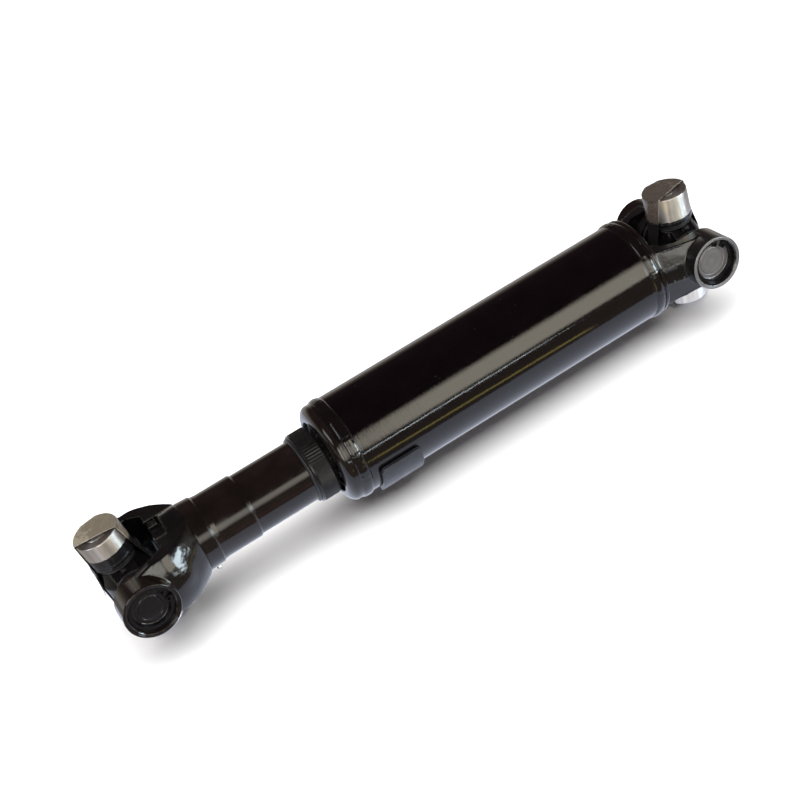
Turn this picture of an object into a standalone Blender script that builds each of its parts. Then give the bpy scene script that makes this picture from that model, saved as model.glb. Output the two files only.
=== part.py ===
"""Universal joint shaft: a splined slip yoke, a balanced tube and a tube yoke, with a cross joint at each end.

Lengths are in millimetres and are turned into metres where a mesh is made. +X runs along the shaft from the
slip yoke to the tube yoke, Y is the axis of the bearing caps held in the ears, and the bare caps stand on Z.
Angles are in degrees. A cross turns about Y, and its tilt is the lean of its upper bare cap towards +X.
"""

import math

import bmesh
import bpy
from mathutils import Vector

MM = 0.001
GAP = 0.3
FINE = 40
MEDIUM = 24
COARSE = 8
CUT_REACH = 60.0

# Shaft
JOINT_SPAN = 391.9
TUBE_R = 31.75
TUBE_WALL = 3.05
BEAD_HEIGHT = 1.0
SPIGOT_R = TUBE_R - TUBE_WALL - GAP
FRONT_TILT = -6.8
REAR_TILT = 3.0

# Joint: bearing caps, trunnions and seals, measured out from the joint's centre
CAP_R = 13.5
CAP_END = 37.3
CAP_LENGTH = 19.0
CAP_FLOOR = 2.5
CAP_CHAMFER = 0.8
CAP_START = CAP_END - CAP_LENGTH
CAP_GROOVE_R = 7.5
CAP_BORE_R = 10.9
TRUNNION_R = 8.2
TRUNNION_END = CAP_END - CAP_FLOOR - 2 * GAP
TRUNNION_CHAMFER = 0.8
NEEDLE_R = 1.05
NEEDLE_COUNT = 16
NEEDLE_INSET = 1.0
NEEDLE_PITCH_R = TRUNNION_R + GAP + NEEDLE_R
SHOULDER_R = 11.0
SHOULDER_END = 15.3
SEAL_R = 12.6
SEAL_GROOVE = 0.7
WEB_REACH = 26.0
WEB_HALF = 8.0
GALLERY_R = 2.0
FITTING_R = 2.0
FITTING_NECK_R = 1.2
FITTING_HEAD_R = 1.7
FITTING_HEIGHT = 5.5
FITTING_DEPTH = 5.0
FITTING_SHANK_R = 1.5

# Ears and their bores
EAR_INNER = 24.3
BOSS_CHAMFER = 0.7
FRONT_BOSS_R = 16.9
FRONT_BOSS_END = 42.0
REAR_BOSS_R = 16.7
REAR_BOSS_END = 42.8
BORE_R = CAP_R + GAP
RING_START = CAP_END + GAP
RING_THICK = 1.6
RING_OUTER_R = 14.5
RING_INNER_R = 11.4
RING_LUG_R = 9.0
RING_OPENING = 9.0
RING_LUG_ANGLE = 16.0
BORE_MOUTH_R = 14.6

# Throat between the ears, which the cross and its bare caps swing in
THROAT = 22.0
THROAT_HALF = 19.0
THROAT_START = 14.0
POCKET_END = 30.0
POCKET_HALF = 10.8
POCKET_FLOOR = 13.3
POCKET_ROUND = 3.0

# Shipping tapes, each a loop round a cross's two bare caps
TAPE_THICK = 0.8
TAPE_LOW = -5.0
TAPE_HIGH = 7.3
TAPE_R = CAP_R + GAP + TAPE_THICK
HOOD_START = 16.0
HOOD_HIGH = 12.8
TAPE_END = CAP_END + GAP + TAPE_THICK
TAIL_START = 12.0
TAIL_END = -7.0
TAIL_LIFT = 3.0

# Slip yoke, measured from the front joint's centre
BELL_R = 35.5
BELL_START = 17.0
BELL_POWER = 1.6
BELL_STEP = 0.3
EAR_INSET = 0.5
EAR_FLAT = 19.1
EAR_FLAT_START = 11.0
HUB_R = 22.0
HUB_START = 24.0
BAND_START = 41.4
BAND_END = 50.3
BAND_END_R = 21.5
NECK_START = 54.3
NECK_R = 20.3
NECK_END = 76.0
SLEEVE_R = 19.4
SLEEVE_START = 77.3
DUST_START = 116.7
DUST_END = 129.4
DUST_R = 22.2
DUST_LIP = 1.4
DUST_CHAMFER = 1.0
THREAD_R = 18.0
SLEEVE_END = 125.0
PLUG_START = 31.0
PLUG_THICK = 2.2
PLUG_R = 11.1
SPLINE_TEETH = 16
SPLINE_TIP_R = 12.8
SPLINE_ROOT_R = 11.3
SPLINE_START = 33.0
SPLINE_END = 108.0

# Stub shaft and tube, measured from the front joint's centre
STUB_NOSE = 42.0
DOME_START = 130.8
DOME_R = 24.2
RECESS_R = 23.4
RECESS_FLOOR = 134.4
FRONT_BEAD_START = 136.8
FRONT_BEAD_END = 146.3
SPIGOT_LENGTH = 18.0
SPIGOT_BORE_R = 20.0
REAR_BEAD_START = 351.2
REAR_BEAD_END = 359.2

# Tube yoke, measured from the rear joint's centre towards the tube
COLLAR_R = 32.2
COLLAR_END = 30.2
COLLAR_FACE = 27.5
COLLAR_FACE_R = 25.0
ARM_FLAT = 17.0
ARM_ROOT = (29.6, 25.6)
ARM_TIP = (6.0, 34.6)
ARM_DRAFT = 2.2

# Balance weight
WEIGHT_START = 151.0
WEIGHT_END = 178.8
WEIGHT_THICK = 2.7
WEIGHT_ANGLES = (-11.0, -66.0)

# The middle of the whole object lies at the origin
FRONT_REACH = TAPE_R + TAPE_END * math.sin(math.radians(abs(FRONT_TILT)))
FRONT_X = -(JOINT_SPAN + REAR_BOSS_R - FRONT_REACH) / 2
REAR_X = FRONT_X + JOINT_SPAN

AXES = {"X": Vector((1, 0, 0)), "Y": Vector((0, 1, 0)), "Z": Vector((0, 0, 1))}
ARM_TURNS = {"top": 0, "near": 90, "bottom": 180, "far": -90}


def material(name, colour, metallic, roughness):
    made = bpy.data.materials.new(name)
    made.use_nodes = True
    shader = made.node_tree.nodes["Principled BSDF"]
    shader.inputs["Base Color"].default_value = (*colour, 1)
    shader.inputs["Metallic"].default_value = metallic
    shader.inputs["Roughness"].default_value = roughness
    return made


def make_object(name, bm, finish=None, parent=None, turn=(0, 0, 0)):
    """An object from a mesh in millimetres, turned about its own Z first, then Y, then X."""
    bmesh.ops.remove_doubles(bm, verts=bm.verts, dist=0.0005)
    bmesh.ops.recalc_face_normals(bm, faces=bm.faces)
    bmesh.ops.scale(bm, verts=bm.verts, vec=(MM, MM, MM))
    mesh = bpy.data.meshes.new(name)
    bm.to_mesh(mesh)
    bm.free()
    return place_mesh(name, mesh, finish, parent, turn)


def place_mesh(name, mesh, finish, parent, turn=(0, 0, 0)):
    made = bpy.data.objects.new(name, mesh)
    bpy.context.scene.collection.objects.link(made)
    if finish and not mesh.materials:
        mesh.materials.append(finish)
        mesh.shade_smooth()
        mesh.set_sharp_from_angle(angle=math.radians(30))
    made.parent = parent
    made.rotation_mode = "ZYX"
    made.rotation_euler = [math.radians(a) for a in turn]
    return made


def empty(name, x, parent=None, tilt=0):
    made = bpy.data.objects.new(name, None)
    bpy.context.scene.collection.objects.link(made)
    made.parent = parent
    made.location = (x * MM, 0, 0)
    made.rotation_euler = (0, math.radians(tilt), 0)
    return made


def boolean(target, operation, tool):
    tool.hide_render = True
    tool.display_type = "WIRE"
    change = target.modifiers.new(tool.name, "BOOLEAN")
    change.operation = operation
    change.object = tool
    change.solver = "EXACT"


def on_axis(axis, along, a, b):
    """A point from its distance along an axis and its two coordinates across it."""
    if axis == "X":
        return Vector((along, a, b))
    if axis == "Y":
        return Vector((a, along, b))
    return Vector((a, b, along))


def lathe(profile, axis, segments):
    """A profile of (distance along the axis, radius) spun into a closed solid."""
    bm = bmesh.new()
    verts = [bm.verts.new(on_axis(axis, along, radius, 0)) for along, radius in profile]
    on_centre = profile[0][1] == 0 and profile[-1][1] == 0
    pairs = list(zip(verts, verts[1:]))
    if not on_centre:
        pairs.append((verts[-1], verts[0]))
    edges = [bm.edges.new(pair) for pair in pairs]
    bmesh.ops.spin(
        bm, geom=verts + edges, cent=(0, 0, 0), axis=AXES[axis], angle=2 * math.pi, steps=segments, use_merge=True
    )
    return bm


def prism(outline, axis, low, high):
    """An outline across an axis drawn out between two distances along it."""
    bm = bmesh.new()
    face = bm.faces.new([bm.verts.new(on_axis(axis, low, a, b)) for a, b in outline])
    grown = bmesh.ops.extrude_face_region(bm, geom=[face])
    moved = [v for v in grown["geom"] if isinstance(v, bmesh.types.BMVert)]
    bmesh.ops.translate(bm, verts=moved, vec=AXES[axis] * (high - low))
    return bm


def hoop(outer, inner, axis, low, high):
    """A closed band between two outlines with the same number of points."""
    bm = bmesh.new()
    loops = []
    for outline, along in ((outer, low), (outer, high), (inner, high), (inner, low)):
        loops.append([bm.verts.new(on_axis(axis, along, a, b)) for a, b in outline])
    for first, second in zip(loops, loops[1:] + loops[:1]):
        for i in range(len(first)):
            j = (i + 1) % len(first)
            bm.faces.new((first[i], first[j], second[j], second[i]))
    return bm


def polar(radius, angle, centre=(0, 0)):
    turn = math.radians(angle)
    return (centre[0] + radius * math.cos(turn), centre[1] + radius * math.sin(turn))


def arc(radius, start, end, steps, centre=(0, 0)):
    return [polar(radius, start + (end - start) * i / steps, centre) for i in range(steps + 1)]


def rounded_box(half_a, half_b, radius):
    corners = ((1, 1, 0), (-1, 1, 90), (-1, -1, 180), (1, -1, 270))
    points = []
    for sign_a, sign_b, start in corners:
        centre = (sign_a * (half_a - radius), sign_b * (half_b - radius))
        points += arc(radius, start, start + 90, 3, centre)
    return points


def spline_outline(tip, root):
    """Straight-sided teeth, four points to a tooth."""
    points = []
    pitch = 360 / SPLINE_TEETH
    for tooth in range(SPLINE_TEETH):
        for share, radius in ((-0.3, root), (-0.2, tip), (0.2, tip), (0.3, root)):
            points.append(polar(radius, (tooth + share) * pitch))
    return points


def cap_mesh():
    """A bearing cap about Z, open towards the joint's centre."""
    floor = CAP_END - CAP_FLOOR
    profile = [
        (floor, 0),
        (floor, CAP_BORE_R),
        (CAP_START, CAP_BORE_R),
        (CAP_START, CAP_R),
        (CAP_END - CAP_CHAMFER, CAP_R),
        (CAP_END, CAP_R - CAP_CHAMFER),
        (CAP_END, CAP_GROOVE_R),
        (CAP_END, 0),
    ]
    return lathe(profile, "Z", MEDIUM)


def seal_mesh():
    """A rubber seal with two lips, between the cross's shoulder and the open end of a cap."""
    start = SHOULDER_END + GAP
    end = CAP_START - GAP
    middle = (start + end) / 2
    inner = TRUNNION_R + GAP
    profile = [
        (start, inner),
        (end, inner),
        (end, SEAL_R),
        (middle, SEAL_R - SEAL_GROOVE),
        (start, SEAL_R),
    ]
    return lathe(profile, "Z", MEDIUM)


def needle_mesh():
    """The full set of needles round a trunnion, held together as one ring."""
    start = CAP_START + NEEDLE_INSET
    end = CAP_END - CAP_FLOOR - GAP
    steps = 2 * NEEDLE_COUNT
    rings = []
    for side in (1, -1):
        ring = []
        for i in range(steps):
            bulge = NEEDLE_R if i % 2 == 0 else NEEDLE_R * 0.5
            ring.append(polar(NEEDLE_PITCH_R + side * bulge, 360 * i / steps))
        rings.append(ring)
    return hoop(rings[0], rings[1], "Z", start, end)


def snap_ring_mesh():
    """An open ring with a lug at each end, in its groove outside a cap."""
    start = RING_OPENING
    lug = start + RING_LUG_ANGLE
    outline = arc(RING_OUTER_R, start, 360 - start, FINE // 2)
    outline += arc(RING_LUG_R, 360 - start, 360 - lug, 2)
    outline += arc(RING_INNER_R, 360 - lug, lug, FINE // 2)
    outline += arc(RING_LUG_R, lug, start, 2)
    return prism(outline, "Z", RING_START, RING_START + RING_THICK)


def fitting_mesh(seat):
    """A grease fitting on Z: a threaded shank, a hexagonal base and a ball head."""
    profile = [
        (seat - FITTING_DEPTH, 0),
        (seat - FITTING_DEPTH, FITTING_SHANK_R),
        (seat + GAP, FITTING_SHANK_R),
        (seat + GAP, FITTING_R),
        (seat + 0.4 * FITTING_HEIGHT, FITTING_R),
        (seat + 0.45 * FITTING_HEIGHT, FITTING_NECK_R),
        (seat + 0.65 * FITTING_HEIGHT, FITTING_NECK_R),
        (seat + 0.75 * FITTING_HEIGHT, FITTING_HEAD_R),
        (seat + 0.9 * FITTING_HEIGHT, FITTING_HEAD_R),
        (seat + FITTING_HEIGHT, FITTING_SHANK_R / 2),
        (seat + FITTING_HEIGHT, 0),
    ]
    return lathe(profile, "Z", COARSE)


def tape_outline(radius, low, high):
    """Across a cap: round where the tape clings to it, straight between its two edges."""
    start = math.degrees(math.asin(low / radius))
    end = math.degrees(math.asin(high / radius))
    return arc(radius, start, end, 8) + arc(radius, 180 - end, 180 - start, 8)


def build_tape(end, frame, plastic):
    """A loop that clings to both bare caps; the front one has a loose end on the side away from the shaft."""
    loop = prism(tape_outline(TAPE_R, TAPE_LOW, TAPE_HIGH), "Z", -TAPE_END, TAPE_END)
    tape = make_object(f"{end}_shipping_tape", loop, plastic, frame)
    for label, low, high in (("upper", HOOD_START, TAPE_END), ("lower", -TAPE_END, -HOOD_START)):
        hood = prism(tape_outline(TAPE_R, TAPE_LOW, HOOD_HIGH), "Z", low, high)
        boolean(tape, "UNION", make_object(f"{end}_tape_{label}_hood", hood, parent=frame))
    inside = TAPE_END - TAPE_THICK
    hollow = [(-inside, 0), (-inside, TAPE_R - TAPE_THICK), (inside, TAPE_R - TAPE_THICK), (inside, 0)]
    boolean(tape, "DIFFERENCE", make_object(f"{end}_tape_hollow", lathe(hollow, "Z", FINE), parent=frame))
    if end == "front":
        side = -(TAPE_R - TAPE_THICK / 2)
        tail = [(side, TAIL_START), (-TAPE_R - TAIL_LIFT, TAIL_END), (-TAPE_R - TAIL_LIFT + 1, TAIL_END)]
        tail.append((side, TAIL_START - 4))
        tail_tool = make_object("front_tape_tail", prism(tail, "Y", TAPE_LOW + 1, TAPE_HIGH - 3), parent=frame)
        boolean(tape, "UNION", tail_tool)


def bore_profile(boss_end, reach):
    """One cutter through both ears: cap bore, snap ring groove and a chamfered mouth at each face."""
    groove = (RING_START - 0.2, RING_START + RING_THICK + 0.2)
    half = [
        (0, BORE_R),
        (groove[0], BORE_R),
        (groove[0], RING_OUTER_R + GAP),
        (groove[1], RING_OUTER_R + GAP),
        (groove[1], BORE_R),
        (boss_end - 0.8, BORE_R),
        (boss_end, BORE_MOUTH_R),
        (reach, BORE_MOUTH_R + reach - boss_end),
    ]
    return [(-reach, 0)] + [(-a, r) for a, r in reversed(half[1:])] + half[1:] + [(reach, 0)]


def throat_outline(toward):
    """The gap between the ears in plan; toward is the side on X that the yoke's body lies on."""
    open_end = -CUT_REACH * toward
    start = THROAT_START * toward
    floor = THROAT * toward
    return [
        (open_end, -EAR_INNER),
        (start, -EAR_INNER),
        (floor, -THROAT_HALF),
        (floor, THROAT_HALF),
        (start, EAR_INNER),
        (open_end, EAR_INNER),
    ]


def cross_mesh():
    """The body of the cross: a shouldered trunnion out along each arm."""
    profile = [
        (-TRUNNION_END, 0),
        (-TRUNNION_END, TRUNNION_R - TRUNNION_CHAMFER),
        (-TRUNNION_END + TRUNNION_CHAMFER, TRUNNION_R),
        (-SHOULDER_END, TRUNNION_R),
        (-SHOULDER_END, SHOULDER_R),
    ]
    profile += [(-along, radius) for along, radius in reversed(profile)]
    return lathe(profile, "Z", MEDIUM)


def build_cross(end, frame, steel):
    """The cross with its web between the arms and its drilled grease galleries."""
    name = f"{end}_cross"
    cross = make_object(name, cross_mesh(), steel, frame)
    other = make_object(f"{name}_second_arm", cross_mesh(), parent=frame, turn=(90, 0, 0))
    reach = WEB_REACH
    web = prism([(reach, 0), (0, reach), (-reach, 0), (0, -reach)], "X", -WEB_HALF, WEB_HALF)
    limit = prism(rounded_box(SHOULDER_END, SHOULDER_END, 1.0), "X", -WEB_HALF - 1, WEB_HALF + 1)
    web_tool = make_object(f"{name}_web", web, parent=frame)
    limit_tool = make_object(f"{name}_web_limit", limit, parent=frame)
    boolean(web_tool, "INTERSECT", limit_tool)
    boolean(cross, "UNION", other)
    boolean(cross, "UNION", web_tool)
    gallery = [(-TRUNNION_END - 1, 0), (-TRUNNION_END - 1, GALLERY_R)]
    gallery += [(-along, radius) for along, radius in reversed(gallery)]
    for label, turn in (("upright", 0), ("level", 90)):
        drill = make_object(f"{name}_{label}_gallery", lathe(gallery, "Z", COARSE), parent=frame, turn=(turn, 0, 0))
        boolean(cross, "DIFFERENCE", drill)
    hole = lathe([(4, 0), (4, FITTING_SHANK_R + GAP), (30, FITTING_SHANK_R + GAP), (30, 0)], "Z", COARSE)
    boolean(cross, "DIFFERENCE", make_object(f"{name}_fitting_hole", hole, parent=frame, turn=(45, 0, 0)))


def build_joint(end, joint, tilt, ring_turn, steel, bare_steel, rubber, spring_steel, brass, plastic):
    """Everything in one joint apart from the yoke: caps, needles, seals, rings, cross, fitting and tape."""
    frame = empty(f"{end}_cross_axis", 0, joint, tilt)
    build_cross(end, frame, steel)
    cap = make_object(f"{end}_bare_cap_top", cap_mesh(), bare_steel, frame).data
    place_mesh(f"{end}_bare_cap_bottom", cap, bare_steel, frame, (ARM_TURNS["bottom"], 0, 0))
    painted = make_object(f"{end}_ear_cap_near", cap_mesh(), steel, joint, (ARM_TURNS["near"], 0, 0)).data
    place_mesh(f"{end}_ear_cap_far", painted, steel, joint, (ARM_TURNS["far"], 0, 0))
    near_turn = (ARM_TURNS["near"], 0, ring_turn)
    ring = make_object(f"{end}_snap_ring_near", snap_ring_mesh(), spring_steel, joint, near_turn).data
    place_mesh(f"{end}_snap_ring_far", ring, spring_steel, joint, (ARM_TURNS["far"], 0, -ring_turn))
    seal = None
    needles = None
    for arm, turn in ARM_TURNS.items():
        if seal is None:
            seal = make_object(f"{end}_seal_{arm}", seal_mesh(), rubber, frame, (turn, 0, 0)).data
            needles = make_object(f"{end}_needles_{arm}", needle_mesh(), bare_steel, frame, (turn, 0, 0)).data
        else:
            place_mesh(f"{end}_seal_{arm}", seal, rubber, frame, (turn, 0, 0))
            place_mesh(f"{end}_needles_{arm}", needles, bare_steel, frame, (turn, 0, 0))
    seat = WEB_REACH / math.sqrt(2)
    make_object(f"{end}_cross_grease_fitting", fitting_mesh(seat), brass, frame, (45, 0, 0))
    build_tape(end, frame, plastic)


def cut_bores(yoke, end, joint, boss_end):
    reach = boss_end + 2
    bores = make_object(f"{end}_bores", lathe(bore_profile(boss_end, reach), "Y", MEDIUM), parent=joint)
    boolean(yoke, "DIFFERENCE", bores)


def bell_profile():
    """From the ears' full width down to the neck along one curve."""
    points = [(-20, 0), (-20, BELL_R)]
    steps = 7
    length = BAND_START - BELL_START
    drop = BELL_R - HUB_R - BELL_STEP
    for i in range(steps + 1):
        share = i / steps
        points.append((BELL_START + share * length, BELL_R - drop * share**BELL_POWER))
    dive = BAND_START + 1
    return points + [(dive, HUB_R - 4), (dive, 0)]


def sleeve_profile():
    return [
        (HUB_START, 0),
        (HUB_START, HUB_R),
        (BAND_END, BAND_END_R),
        (NECK_START, NECK_R),
        (NECK_END, NECK_R),
        (SLEEVE_START, SLEEVE_R),
        (DUST_START - GAP, SLEEVE_R),
        (DUST_START - GAP, THREAD_R),
        (SLEEVE_END, THREAD_R),
        (SLEEVE_END, 0),
    ]


def build_slip_yoke(joint, paint):
    yoke = make_object("slip_yoke", lathe(bell_profile(), "X", FINE), paint, joint)
    outline = arc(FRONT_BOSS_R - EAR_INSET, 90, 270, 12)
    outline += [(EAR_FLAT_START, -EAR_FLAT), (BAND_END, -EAR_FLAT)]
    outline += [(BAND_END, EAR_FLAT), (EAR_FLAT_START, EAR_FLAT)]
    boolean(yoke, "INTERSECT", make_object("slip_yoke_side_outline", prism(outline, "Y", -CUT_REACH, CUT_REACH), parent=joint))
    boolean(yoke, "UNION", make_object("slip_yoke_sleeve", lathe(sleeve_profile(), "X", FINE), parent=joint))
    boss = [(-FRONT_BOSS_END, 0), (-FRONT_BOSS_END, FRONT_BOSS_R - BOSS_CHAMFER), (-FRONT_BOSS_END + BOSS_CHAMFER, FRONT_BOSS_R)]
    boss += [(-along, radius) for along, radius in reversed(boss)]
    boolean(yoke, "UNION", make_object("slip_yoke_bosses", lathe(boss, "Y", MEDIUM), parent=joint))
    throat = prism(throat_outline(1), "Z", -CUT_REACH, CUT_REACH)
    boolean(yoke, "DIFFERENCE", make_object("slip_yoke_throat", throat, parent=joint))
    pocket = [(THROAT - 4, -POCKET_HALF), (THROAT - 4, POCKET_HALF)]
    pocket += arc(POCKET_ROUND, 90, 0, 3, (POCKET_END - POCKET_ROUND, POCKET_HALF - POCKET_ROUND))
    pocket += arc(POCKET_ROUND, 0, -90, 3, (POCKET_END - POCKET_ROUND, POCKET_ROUND - POCKET_HALF))
    for side, low, high in (("upper", POCKET_FLOOR, CUT_REACH), ("lower", -CUT_REACH, -POCKET_FLOOR)):
        tool = make_object(f"slip_yoke_{side}_pocket", prism(pocket, "Z", low, high), parent=joint)
        boolean(yoke, "DIFFERENCE", tool)
    cut_bores(yoke, "front", joint, FRONT_BOSS_END)
    bore = [(THROAT - 2, 0), (THROAT - 2, PLUG_R + GAP), (SPLINE_START + 1, PLUG_R + GAP), (SPLINE_START + 1, 0)]
    boolean(yoke, "DIFFERENCE", make_object("slip_yoke_throat_bore", lathe(bore, "X", FINE), parent=joint))
    teeth = prism(spline_outline(SPLINE_TIP_R + GAP, SPLINE_ROOT_R + GAP), "X", SPLINE_START, SPLINE_END)
    boolean(yoke, "DIFFERENCE", make_object("slip_yoke_spline", teeth, parent=joint))
    mouth_r = SPLINE_TIP_R + 2 * GAP
    mouth = [(SPLINE_END - 1, 0), (SPLINE_END - 1, mouth_r), (SLEEVE_END + 1, mouth_r), (SLEEVE_END + 1, 0)]
    boolean(yoke, "DIFFERENCE", make_object("slip_yoke_mouth", lathe(mouth, "X", FINE), parent=joint))
    return yoke


def build_slip_fitting(yoke, joint, brass):
    """The fitting that feeds the spline, straight down from the band."""
    station = empty("slip_fitting_axis", (BAND_START + BAND_END) / 2, joint)
    lean = ARM_TURNS["bottom"]
    seat = (HUB_R + BAND_END_R) / 2
    make_object("slip_grease_fitting", fitting_mesh(seat), brass, station, (lean, 0, 0))
    hole_r = FITTING_SHANK_R + GAP
    hole = lathe([(8, 0), (8, hole_r), (seat + 4, hole_r), (seat + 4, 0)], "Z", COARSE)
    boolean(yoke, "DIFFERENCE", make_object("slip_fitting_hole", hole, parent=station, turn=(lean, 0, 0)))


def build_dust_parts(joint, dust_paint, felt, paint):
    """The screwed dust cap with its ridged rim, the seal in it, and the plug in the throat."""
    thread = THREAD_R + GAP
    lip = SPLINE_TIP_R + 2 * GAP
    inside = SLEEVE_END + GAP
    cap = [
        (DUST_START, thread),
        (DUST_START, DUST_R - DUST_CHAMFER),
        (DUST_START + DUST_CHAMFER, DUST_R),
        (DUST_END - DUST_CHAMFER / 2, DUST_R),
        (DUST_END, DUST_R - DUST_CHAMFER / 2),
        (DUST_END, lip),
        (DUST_END - DUST_LIP, lip),
        (DUST_END - DUST_LIP, thread),
    ]
    make_object("dust_cap", lathe(cap, "X", FINE), dust_paint, joint)
    seal = [(inside, SPLINE_TIP_R + GAP), (inside, thread - GAP)]
    seal += [(DUST_END - DUST_LIP - GAP, thread - GAP), (DUST_END - DUST_LIP - GAP, SPLINE_TIP_R + GAP)]
    make_object("dust_seal", lathe(seal, "X", FINE), felt, joint)
    plug = [(PLUG_START, 0), (PLUG_START + 0.8, PLUG_R * 0.6), (PLUG_START + 1.2, PLUG_R)]
    plug += [(PLUG_START + 1.8, PLUG_R), (PLUG_START + 1.6, PLUG_R * 0.6), (PLUG_START + 1.0, 0)]
    make_object("slip_yoke_plug", lathe(plug, "X", MEDIUM), paint, joint)


def build_stub(joint, paint):
    """The splined shaft and its domed head, whose spigot fits in the tube."""
    spigot_end = FRONT_BEAD_START + SPIGOT_LENGTH
    profile = [(RECESS_FLOOR - 6, 0), (RECESS_FLOOR - 6, SPLINE_ROOT_R), (RECESS_FLOOR, SPLINE_ROOT_R)]
    profile += [(RECESS_FLOOR, RECESS_R), (DOME_START + 0.4, RECESS_R)]
    reach = TUBE_R - DOME_R
    depth = FRONT_BEAD_START - GAP - DOME_START
    for along, up in arc(1, 180, 90, 5):
        profile.append((DOME_START + depth * (1 + along), DOME_R + reach * up))
    profile += [
        (FRONT_BEAD_START - GAP, SPIGOT_R),
        (spigot_end, SPIGOT_R),
        (spigot_end, SPIGOT_BORE_R),
        (FRONT_BEAD_START + 4, SPIGOT_BORE_R),
        (FRONT_BEAD_START + 4, 0),
    ]
    stub = make_object("splined_stub", lathe(profile, "X", FINE), paint, joint)
    teeth = prism(spline_outline(SPLINE_TIP_R, SPLINE_ROOT_R), "X", STUB_NOSE, RECESS_FLOOR + 1)
    boolean(stub, "UNION", make_object("splined_stub_teeth", teeth, parent=joint))


def bead_profile(start, end):
    """A weld bead that fills the groove down to the spigot and stands proud of the tube."""
    low = start + GAP
    high = end - GAP
    middle = (low + high) / 2
    return [
        (low, SPIGOT_R + GAP),
        (low, TUBE_R),
        ((low + middle) / 2, TUBE_R + BEAD_HEIGHT),
        ((high + middle) / 2, TUBE_R + BEAD_HEIGHT),
        (high, TUBE_R),
        (high, SPIGOT_R + GAP),
    ]


def build_tube(joint, paint):
    bore = TUBE_R - TUBE_WALL
    wall = [(FRONT_BEAD_END, bore), (FRONT_BEAD_END, TUBE_R), (REAR_BEAD_START, TUBE_R), (REAR_BEAD_START, bore)]
    make_object("tube", lathe(wall, "X", FINE), paint, joint)
    for end, low, high in (
        ("front", FRONT_BEAD_START, FRONT_BEAD_END),
        ("rear", REAR_BEAD_START, REAR_BEAD_END + GAP),
    ):
        make_object(f"{end}_weld_bead", lathe(bead_profile(low, high), "X", FINE), paint, joint)
    low, high = WEIGHT_ANGLES
    inner = TUBE_R + GAP
    outline = arc(inner + WEIGHT_THICK, 180 - low, 180 - high, 8) + arc(inner, 180 - high, 180 - low, 8)
    weight = make_object("balance_weight", prism(outline, "X", WEIGHT_START, WEIGHT_END), paint, joint)
    weight.modifiers.new("rounded_edges", "BEVEL").width = 0.5 * MM


def arm_mesh(side):
    """A forged arm: flat above and below, with drafted sides that meet at a parting line half way up."""
    bm = bmesh.new()
    root_x, root_y = ARM_ROOT
    tip_x, tip_y = ARM_TIP
    for level in (-ARM_FLAT, ARM_FLAT):
        for x, y in ((root_x, root_y), (tip_x, tip_y), (0, tip_y), (root_x, 12), (0, EAR_INNER)):
            bm.verts.new((-x, side * y, level))
    for x, y in ((root_x, root_y), (tip_x, tip_y), (0, tip_y)):
        bm.verts.new((-x, side * (y + ARM_DRAFT), 0))
    hull = bmesh.ops.convex_hull(bm, input=bm.verts)
    loose = [v for v in hull["geom_interior"] if isinstance(v, bmesh.types.BMVert)]
    bmesh.ops.delete(bm, geom=loose, context="VERTS")
    return bm


def build_tube_yoke(joint, paint):
    shoulder = -(JOINT_SPAN - REAR_BEAD_END - GAP)
    spigot_end = shoulder - (REAR_BEAD_END - REAR_BEAD_START) - SPIGOT_LENGTH
    profile = [
        (shoulder - 6, 0),
        (shoulder - 6, SPIGOT_BORE_R),
        (spigot_end, SPIGOT_BORE_R),
        (spigot_end, SPIGOT_R),
        (shoulder, SPIGOT_R),
        (shoulder, COLLAR_R),
        (-COLLAR_END, COLLAR_R),
        (-COLLAR_FACE, COLLAR_FACE_R),
        (-COLLAR_FACE, 0),
    ]
    yoke = make_object("tube_yoke", lathe(profile, "X", FINE), paint, joint)
    for name, side in (("near", -1), ("far", 1)):
        boolean(yoke, "UNION", make_object(f"tube_yoke_{name}_arm", arm_mesh(side), parent=joint))
    web = prism([(-33, -20), (-THROAT + 4, -20), (-THROAT + 4, 20), (-33, 20)], "Z", -POCKET_FLOOR, POCKET_FLOOR)
    boolean(yoke, "UNION", make_object("tube_yoke_web", web, parent=joint))
    boss = [(-REAR_BOSS_END, 0), (-REAR_BOSS_END, REAR_BOSS_R - BOSS_CHAMFER), (-REAR_BOSS_END + BOSS_CHAMFER, REAR_BOSS_R)]
    boss += [(-along, radius) for along, radius in reversed(boss)]
    boolean(yoke, "UNION", make_object("tube_yoke_bosses", lathe(boss, "Y", MEDIUM), parent=joint))
    throat = prism(throat_outline(-1), "Z", -CUT_REACH, CUT_REACH)
    boolean(yoke, "DIFFERENCE", make_object("tube_yoke_throat", throat, parent=joint))
    cut_bores(yoke, "rear", joint, REAR_BOSS_END)


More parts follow.
